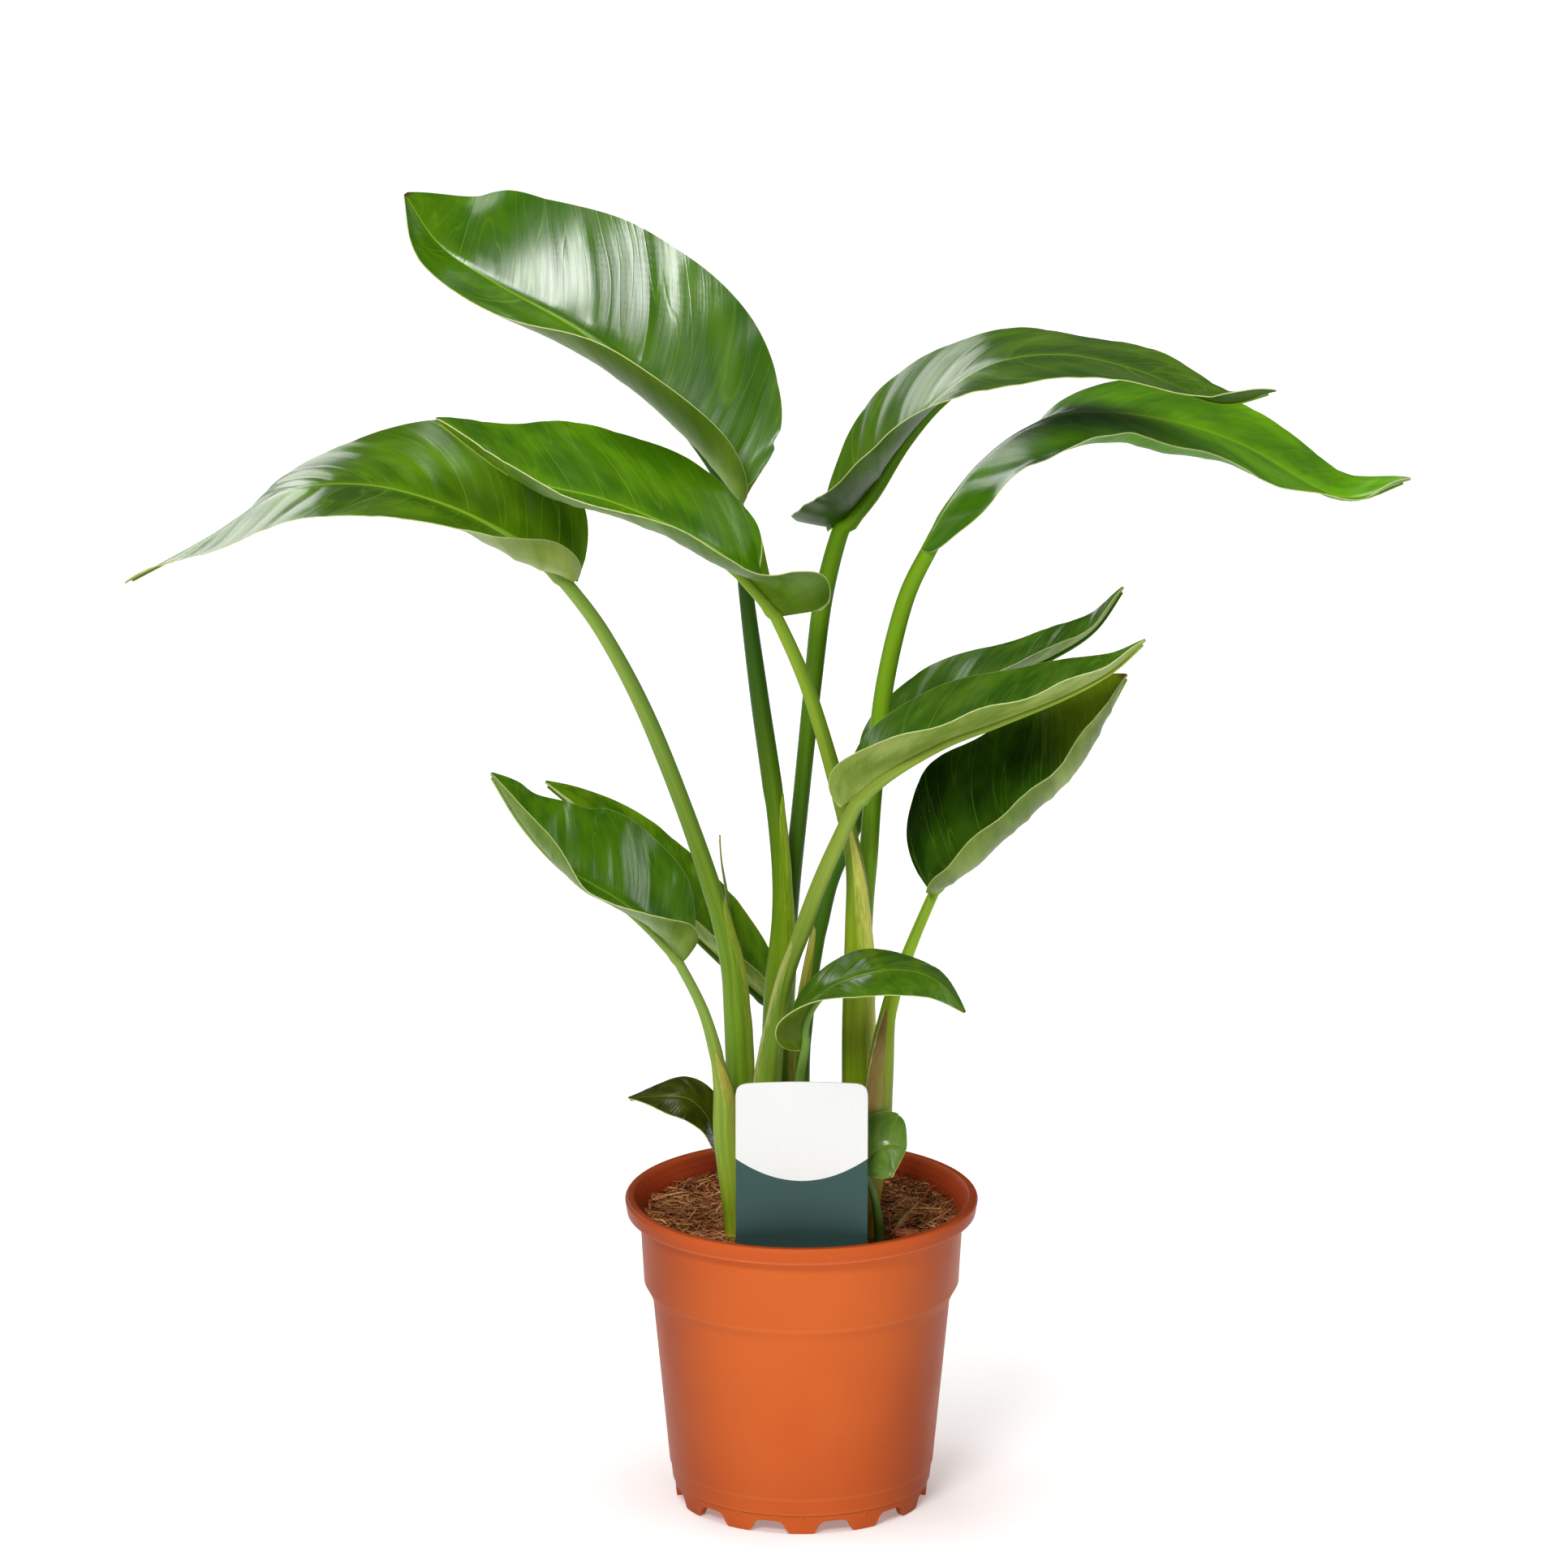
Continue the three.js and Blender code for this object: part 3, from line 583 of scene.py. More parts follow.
@dataclass(frozen=True)
class BladeUnder(Finish):
    """The matt, paler underside of a blade, which wanders between two grey-greens."""

    pale: Colour
    shaded: Colour

    def fill(self, g: Graph) -> None:
        """Grey-greens in clouds, veins and painted shade in the creases, paler at the rib and the margin."""
        _, across, vein = g.parts("blade_place")
        from_rib, from_margin, phase = g.parts("blade_reach")
        veins = VEINS.use(g, vein, across, UNDER_VEINS, 0.0)
        colour = g.over(self.shaded, self.pale, veins["Clouds"], 0.3, 0.75)
        # the first tint darkens the fine veins, the second is painted shade in the creases
        vein_tint_and_crease_shade = (0.72, 0.78, 0.66), (0.7, 0.76, 0.64)
        colour, _, _ = veined(g, colour, veins, phase, *vein_tint_and_crease_shade, 0.3)
        colour = g.over(colour, self.pale, from_rib, 0.0, 12.0, 0.4, 0.0)
        colour = g.over(colour, MARGIN_CREAM, from_margin, 0.05, 0.35, 0.6, 0.0)
        relief = g.math("MULTIPLY_ADD", veins["Lines"], 0.8, veins["Fine"])
        g.surface(colour, 0.42, g.bump(relief, 0.3, 0.0003), Specular_IOR_Level=0.14)


class Margin(Finish):
    """The cream cut edge that runs round every blade."""

    def fill(self, g: Graph) -> None:
        """Cream that wanders towards green."""
        g.surface(g.mix(g.clouds(300.0), MARGIN_CREAM, paint(150, 166, 84)), 0.5)


@dataclass(frozen=True)
class StemSkin(Finish):
    """A stem's skin, from its foot up to the underside of the blade.

    foot, waist, neck: its colours at the soil, half way and under the blade
    low, high: the heights in metres between which they change
    """

    foot: Colour
    waist: Colour
    neck: Colour
    low: float
    high: float

    def grain(self, g: Graph) -> Outputs:
        """The stem's lengthwise strands and streaks."""
        return GRAIN.use(g, *g.parts("stem_place"))

    def colour(self, g: Graph, grain: Outputs) -> bpy.types.NodeSocket:
        """The stem's colour, streaked along its length."""
        middle = (self.low + self.high) / 2
        rise = g.split(g.place())[2]
        colour = g.over(self.foot, self.waist, rise, self.low, middle)
        colour = g.over(colour, self.neck, rise, middle, self.high)
        deeper = g.tint(colour, 0.6, 0.7, 0.5)
        colour = g.over(colour, deeper, grain["Strands"], 0.35, 0.75, 0.0, 0.3)
        colour = g.over(colour, deeper, grain["Streaks"], 0.3, 0.6, 0.4, 0.0)
        paler = g.tint(colour, 1.3, 1.2, 1.1)
        return g.over(colour, paler, grain["Streaks"], 0.42, 0.7, 0.0, 0.6)

    def fill(self, g: Graph) -> None:
        """The streaked greens with a few tan scars."""
        grain = self.grain(g)
        colour = self.colour(g, grain)
        colour = g.over(colour, SCAR_TAN, g.clouds(160.0, 1.0), 0.76, 0.82, 0.0, 0.4)
        g.surface(colour, 0.42, g.bump(grain["Strands"], 0.25, 0.0003), Specular_IOR_Level=0.14)


@dataclass(frozen=True)
class SheathSkin(Finish):
    """The thin wing round a stem's foot, which fades from green to a pale strip and a dry rim.

    stem: the green that it fades into
    strip, reach: the colour beside the free edge, and how many mm it reaches
    rim: colour of the last millimetre
    """

    stem: StemSkin
    strip: Colour
    reach: float
    rim: Colour

    def fill(self, g: Graph) -> None:
        """The stem's green, the streaked strip over it and the ragged rim."""
        grain = self.stem.grain(g)
        strands = grain["Strands"]
        colour = self.stem.colour(g, grain)
        from_edge, _, _ = g.parts("sheath_place")
        reach = g.math("ADD", from_edge, g.ease(strands, 0.3, 0.7, -1.5, 1.5))
        strip = g.over(self.strip, g.tint(self.strip, 0.7, 0.78, 0.55), strands, 0.3, 0.7)
        colour = g.over(colour, strip, reach, 0.2 * self.reach, self.reach, 0.95, 0.0)
        ragged = g.math("MULTIPLY_ADD", g.clouds(260.0), 1.2, from_edge)
        colour = g.over(colour, self.rim, ragged, 0.7, 1.3, 0.85, 0.0)
        g.surface(colour, 0.5, g.bump(strands, 0.3, 0.0003), Specular_IOR_Level=0.16)


@dataclass(frozen=True)
class Husk(Finish):
    """Dry plant matter: fibrous, mottled between two browns."""

    light: Colour
    dark: Colour
    streaks: float = 0.25

    def fill(self, g: Graph) -> None:
        """Fibres drawn out along x, in clouds of the two browns."""
        x, y, z = g.split(g.place())
        drawn = g.vector(g.math("MULTIPLY", x, self.streaks), y, z)
        fibres = g.noise(drawn, 1600.0, 3.0, 0.65)
        mixed = g.math("MULTIPLY_ADD", g.clouds(220.0), 0.8, fibres)
        colour = g.over(self.dark, self.light, mixed, 0.65, 1.15)
        g.surface(colour, 0.75, g.bump(fibres, 0.5, 0.0005), Specular_IOR_Level=0.25)


# Leaves

BLADE_END = 1.1
BLADE_THICKNESS = 0.5
LEAF_ALONG = 160
LEAF_ACROSS = 44
RIB_SAMPLES = 400
RIB_CROWD = 1.15
CURL_STEPS = 12
WAVE_CALM = 0.12
HOOD_RISE = 1.5
FOLD_SPAN = (0.8, 1.15)
FOLD_LIFT = 1.4
VEIN_BASE, VEIN_BOW = 0.06, 0.75
VEIN_CURVE, VEIN_SLANT = 1.3, 0.62
PLEAT_ENDS = 0.1
PLEAT_ROOT = (2.0, 9.0)
PLEAT_RIM = (0.7, 1.0)
FINE_PLEATS, FINE_HIGH = 31, 0.05
CHANNEL_DEEP, CHANNEL_WIDE = 0.7, 2.2
KEEL_FROM = 0.03
KEEL_TO = 0.985
KEEL_STEPS = 43
KEEL_SHARE = 0.9
KEEL_TIP = 0.5
KEEL_SUNK = 0.55
KEEL_SUNK_FROM = 0.12
STEM_SIDES = 24
STEM_STEP = 4.0
SHEATH_GRID = (90, 24)
SHEATH_THICKNESS = 0.35
SHEATH_SUNK = 0.45
SHEATH_FADE = (6.0, 2.0)
SHEATH_LAP = 6.0
SHEATH_FREE = 0.85


class Fault(Enum):
    """What happened to a margin at one place."""

    NICK = "a notch that is torn out"
    CRUMPLE = "short, sharp ripples"
    FOLD = "a narrow strip that is turned up"


@dataclass(frozen=True)
class Damage:
    """A fault of a margin.

    at, length: where it is along the rib and how long, as shares of the rib
    size: its depth or height, mm
    """

    kind: Fault
    at: float
    length: float
    size: float

    def marks(self, u: np.ndarray, v: np.ndarray) -> tuple:
        """How far it lifts each point, and how much width it takes away, mm."""
        place = (u - self.at) / self.length
        if self.kind is Fault.NICK:
            return 0.0, self.size * np.clip(1 - 2 * np.abs(place), 0, 1)
        near = self.size * np.exp(-((2 * place) ** 2))
        if self.kind is Fault.FOLD:
            return near * smooth_step(v, *FOLD_SPAN) * FOLD_LIFT, 0.0
        turn = 2 * np.pi * place
        swell = 0.6 + 0.4 * np.sin(1.9 * turn + 0.7)
        wrinkle = np.sin(3.1 * turn) + 0.5 * np.sin(5.7 * turn + 1)
        return near * v**3 * swell * wrinkle, 0.0


@dataclass(frozen=True)
class Half:
    """One half of a blade, from its base to its tip.

    angle, curl: degrees that the section leaves the rib at, and turns by its margin
    wide: the half's width as a share of the leaf's own
    lobe, hang: how far the base reaches back beside the stalk and up from it, mm
    fade: how fast the lobe and the hang die away from the base
    wave: height in mm, count and start of the margin's long ripples
    damage: the margin's faults
    """

    angle: Numbers
    curl: Numbers = (0, 0)
    wide: Numbers = (1, 1)
    lobe: float = 0.0
    hang: float = 0.0
    fade: float = 6.0
    wave: Numbers = (0, 1, 0)
    damage: tuple[Damage, ...] = ()

    def section(self, u: np.ndarray, v: np.ndarray) -> tuple[np.ndarray, np.ndarray, np.ndarray]:
        """How far out and up each point lies, as shares of the width, and how steep it is there."""
        angle, curl = np.radians(spread(self.angle, u)), np.radians(spread(self.curl, u))
        steps = (np.arange(CURL_STEPS) + 0.5) / CURL_STEPS
        turns = angle[:, None] + curl[:, None] * v[:, None] * steps
        return np.cos(turns).mean(axis=1) * v, np.sin(turns).mean(axis=1) * v, angle + curl * v

    def ripple(self, u: np.ndarray, v: np.ndarray) -> np.ndarray:
        """The height of the long ripples, mm."""
        height, waves, start = self.wave
        calm = np.clip(np.minimum(u, 1 - u) / WAVE_CALM, 0, 1)
        return height * v**2 * calm * np.sin(2 * np.pi * (waves * u + start))

    def faults(self, u: np.ndarray, v: np.ndarray) -> tuple:
        """How far the damage lifts each point, and how much width it takes away, mm."""
        lift, out = 0.0, 0.0
        for fault in self.damage:
            raised, torn = fault.marks(u, v)
            lift, out = lift + raised, out + torn
        return lift, out


def vein_place(u: np.ndarray, v: np.ndarray) -> np.ndarray:
    """Where on the rib the side vein through a point of the blade starts."""
    return u - (VEIN_BASE + VEIN_BOW * u * (1 - u)) * v**VEIN_CURVE * VEIN_SLANT


@dataclass(frozen=True)
class LeafShape:
    """A leaf's form.

    rib: from the blade's base to its tip, mm
    half, widest, point: half the width in mm, where it is widest, and how full it is to the tip
    left, right: the two halves of the blade
    stalk, radii: from the soil to the blade's base, and its radii, mm
    creases, pleat: how many creases a half has, and how high the pleats between them are, mm
    """

    rib: Points
    half: float
    widest: float
    point: float
    left: Half
    right: Half
    stalk: Points
    radii: Numbers
    creases: float
    pleat: float

    def frames(self, u: np.ndarray) -> tuple[np.ndarray, np.ndarray, np.ndarray, np.ndarray]:
        """The rib's point, its direction, the right-hand side and the upper side at u."""
        line = even_path(self.rib, RIB_SAMPLES)
        ahead = unit(np.gradient(line, axis=0))
        heading = line[-1] - line[0]
        heading[2] = 0
        level = np.cross(unit(heading), [0, 0, 1])
        side = unit(level - (ahead @ level)[:, None] * ahead)
        steps = np.linspace(0, 1, len(line))
        table = np.hstack([line, ahead, side]).T
        found = np.column_stack([np.interp(u, steps, column) for column in table])
        ahead, side = unit(found[:, 3:6]), unit(found[:, 6:9])
        return found[:, :3], ahead, side, np.cross(side, ahead)

    def outline(self, u: np.ndarray) -> np.ndarray:
        """Half the blade's width at u, mm."""
        rise = np.sqrt(np.clip(1 - ((self.widest - u) / self.widest) ** 2, 0, 1))
        fall = 1 - np.clip((u - self.widest) / (1 - self.widest), 0, 1) ** self.point
        return BLADE_END + (self.half - BLADE_END) * np.where(u < self.widest, rise, fall)

    def blade(self, u: np.ndarray, y: np.ndarray) -> tuple[np.ndarray, ...]:
        """The blade's middle surface.

        Args:
            u: places along the rib, 0 at the base and 1 at the tip.
            y: places across, from -1 at the left margin to 1 at the right one.

        Returns:
            The points in mm, the width of each point's half, its share across that half, and its
            place between the creases, which run where that is a whole number.
        """
        points = np.zeros((len(u), 3))
        reach, phase = np.zeros(len(u)), np.zeros(len(u))
        v = np.abs(y) ** RIB_CROWD
        for sign, half, mine in ((-1, self.left, y < 0), (1, self.right, y >= 0)):
            at, across = u[mine], v[mine]
            rib, ahead, side, up = self.frames(at)
            lift, out = half.faults(at, across)
            wide = self.outline(at) * spread(half.wide, at) - out
            reach[mine] = wide
            phase[mine] = self.phase(at, across, sign)
            lift = half.ripple(at, across) + lift + self.relief(at, across, wide, phase[mine])
            along, rise, turn = half.section(at, across)
            base = (1 - at) ** half.fade * across**HOOD_RISE
            points[mine] = (
                rib
                + (sign * (along * wide - lift * np.sin(turn)))[:, None] * side
                + (rise * wide + lift * np.cos(turn) + half.hang * base)[:, None] * up
                - (half.lobe * base)[:, None] * ahead
            )
        return points, reach, v, phase

    def phase(self, u: np.ndarray, v: np.ndarray, sign: int) -> np.ndarray:
        """A count that passes a whole number in each crease along the side veins."""
        vein = vein_place(u, v)
        wander = 0.3 * np.sin(2 * np.pi * (1.7 * vein + 0.3 * sign)) + 0.37 * sign
        wander += 0.2 * np.sin(2 * np.pi * (4.3 * vein + 0.011 * self.half))
        return self.creases * vein + wander

    def relief(self, u: np.ndarray, v: np.ndarray, wide: np.ndarray, phase: np.ndarray) -> np.ndarray:
        """Pleats between the creases, fine ones on them, and the channel over the midrib, mm."""
        vein = vein_place(u, v)
        calm = np.clip(np.minimum(u, 1 - u) / PLEAT_ENDS, 0, 1) * smooth_step(v * wide, *PLEAT_ROOT)
        calm *= 1 - 0.5 * smooth_step(v, *PLEAT_RIM)
        crown = np.abs(np.sin(np.pi * phase)) ** 0.75
        uneven = 1 + 0.45 * np.sin(2 * np.pi * (2.6 * vein + 0.02 * self.half))
        fine = FINE_HIGH * np.sin(2 * np.pi * (FINE_PLEATS * vein + 0.4))
        pleats = self.pleat * uneven * (crown - 0.55) + fine
        spread_out = v * wide / (CHANNEL_WIDE - 1.4 * u)
        channel = -CHANNEL_DEEP * (1 - 0.7 * u) * np.exp(-(spread_out**2))
        return pleats * calm + channel * smooth_step(u, 0, 0.05)

    def stem_path(self) -> tuple[np.ndarray, np.ndarray]:
        """Centres and radii, in mm, of the stalk and of the midrib that it runs on as."""
        end = KEEL_SHARE * self.radii[-1]
        rib, _, _, up = self.frames(np.array([0.0, KEEL_FROM]))
        knots = (*self.stalk[:-1], *map(tuple, rib - end * up))
        count = int(walked(np.array(knots))[-1] / STEM_STEP)
        radii = spread((*self.radii, end), np.linspace(0, 1, count + 1))
        u = np.linspace(KEEL_FROM, KEEL_TO, KEEL_STEPS + 1)[1:]
        keel = end + (KEEL_TIP - end) * ((u - KEEL_FROM) / (KEEL_TO - KEEL_FROM)) ** 0.6
        rib, _, _, up = self.frames(u)
        sunk = KEEL_SHARE * keel + KEEL_SUNK * smooth_step(u, KEEL_FROM, KEEL_SUNK_FROM)
        centres = np.vstack([even_path(knots, count), rib - sunk[:, None] * up])
        return centres, np.concatenate([radii, keel])


@dataclass
class Tube:
    """A round, tapering stem along a path.

    centres, radii: the path's points and the stem's radius at each, mm
    """

    name: str
    centres: np.ndarray
    radii: np.ndarray

    def frames(self) -> tuple[np.ndarray, np.ndarray]:
        """Two directions across the path that don't twist about it."""
        ahead = unit(np.gradient(self.centres, axis=0))
        across = [np.array([1.0, 0.0, 0.0])]
        for step in ahead:
            across.append(unit(across[-1] - (across[-1] @ step) * step))
        return np.array(across[1:]), np.cross(ahead, across[1:])

    def spokes(self, i: np.ndarray, turn: np.ndarray) -> np.ndarray:
        """Directions out from the path's points i, at these turns about it."""
        across, third = self.frames()
        return np.cos(turn)[:, None] * across[i] + np.sin(turn)[:, None] * third[i]

    def build(self) -> bpy.types.Object:
        """Rolls a grid into the stem and closes it."""
        rings = len(self.centres) - 1
        piece, u, v = shaped_grid(self.name, rings, STEM_SIDES)
        i = np.rint(u * rings).astype(int)
        turn = -2 * np.pi * v
        radius = self.radii[i]
        move_points(piece, to_row(self.centres[i] + radius[:, None] * self.spokes(i, turn)))
        mark(piece, "stem_place", walked(self.centres)[i], turn, radius)
        in_edit_mode(piece, weld, close_ends, face_out)
        return piece


@dataclass(frozen=True)
class Sheath:
    """The thin wing that wraps a stem's foot and ends in a point, with one free edge.

    high: how high its point is, mm
    edge: azimuths of the free edge from low to high, 0 to the right and -90 to the front, degrees
    wrap: how far round it goes from there, negative when it leaves towards the front
    strip, reach: its colour beside the free edge, and how many mm that reaches
    rim: colour of the dry rim
    lift: how far the free edge stands off, mm
    low: how high it starts, mm
    """

    high: float
    edge: Numbers
    wrap: float
    strip: Colour
    rim: Colour
    reach: float = 8.0
    lift: float = 0.3
    low: float = 128.0

    def bare(self, centres: np.ndarray, radii: np.ndarray) -> np.ndarray:
        """The radii of the stem inside, so that the wing lies flush on its outside."""
        below, above = SHEATH_FADE
        under = 1 - smooth_step(centres[:, 2], self.high - below, self.high + above)
        return radii - SHEATH_SUNK * under

    def build(
        self, name: str, centres: np.ndarray, radii: np.ndarray, stem: StemSkin
    ) -> bpy.types.Object:
        """Lays the wing round a stem and dresses it.

        Args:
            name: the piece's name.
            centres: the stem's path, mm.
            radii: its full radius at each point, mm.
            stem: the stem's own finish.

        Returns:
            The wing.
        """
        piece, u, v = shaped_grid(name, *SHEATH_GRID)
        rise = self.low + (self.high - self.low) * u
        stop = int(np.searchsorted(np.maximum.accumulate(centres[:, 2]), self.high + 3))
        levels = centres[:stop, 2]
        middle = np.column_stack([np.interp(rise, levels, centres[:stop, k]) for k in range(2)])
        radius = np.interp(rise, levels, radii[:stop])
        wrap = math.copysign(SHEATH_LAP, self.wrap) + self.wrap * np.sqrt(1 - u**2)
        turn = np.radians(spread(self.edge, u) + wrap * v)
        uneven = 0.12 * np.sin(rise / 7.0) + 0.08 * np.sin(rise / 2.9)
        off = (self.lift + uneven) * (1 - v) ** 3 - 0.5 * SHEATH_THICKNESS
        out = radius + off - SHEATH_SUNK * smooth_step(v, SHEATH_FREE, 1.0)
        flat = np.column_stack([np.cos(turn), np.sin(turn)]) * out[:, None] + middle
        move_points(piece, to_row(np.column_stack([flat, rise])))
        mark(piece, "stem_place", rise, turn, radius)
        mark(piece, "sheath_place", radius * np.radians(np.abs(wrap)) * v)
        thicken(piece, SHEATH_THICKNESS)
        in_edit_mode(piece, face_out)
        dress(piece, SheathSkin(stem, self.strip, self.reach, self.rim).make(name))
        return piece


@dataclass
class Leaf:
    """One leaf: its blade, and the stalk that runs on under it as the midrib."""

    node: str
    shape: LeafShape
    top: BladeTop
    under: BladeUnder
    stem: StemSkin
    sheath: Sheath | None = None

    def blade(self) -> bpy.types.Object:
        """Lays a grid on the blade's surface."""
        piece, u, v = shaped_grid(self.node, LEAF_ALONG, LEAF_ACROSS)
        y = 1 - 2 * v
        points, reach, share, phase = self.shape.blade(u, y)
        room = 0.5 * BLADE_THICKNESS * MM
        move_points(piece, np.clip(to_row(points), CAD_BOX[0] + room, CAD_BOX[1] - room))
        mark(piece, "blade_place", u, np.where(y < 0, -share, share), vein_place(u, share))
        mark(piece, "blade_reach", reach * share, reach * (1 - share), phase)
        return piece

    def build(self, margin: bpy.types.Material) -> bpy.types.Object:
        """Builds and dresses the leaf.

        Args:
            margin: the finish of the blade's cut edge.

        Returns:
            The finished piece.
        """
        blade = self.blade()
        top, under = self.top.make(f"{self.node}_top"), self.under.make(f"{self.node}_under")
        stem = self.stem.make(f"{self.node}_stem")
        dress(blade, top, under, margin, stem)
        thicken(blade, BLADE_THICKNESS, material_offset=1, material_offset_rim=2)
        centres, radii = self.shape.stem_path()
        bare = self.sheath.bare(centres, radii) if self.sheath else radii
        stalk = Tube(f"{self.node}_stalk", centres, bare).build()
        dress(stalk, stem)
        parts = [blade, stalk]
        if self.sheath:
            parts.append(self.sheath.build(f"{self.node}_sheath", centres, radii, self.stem))
        piece = fuse(parts)
        smooth(piece, 50)
        return hand_over(piece, self.node)


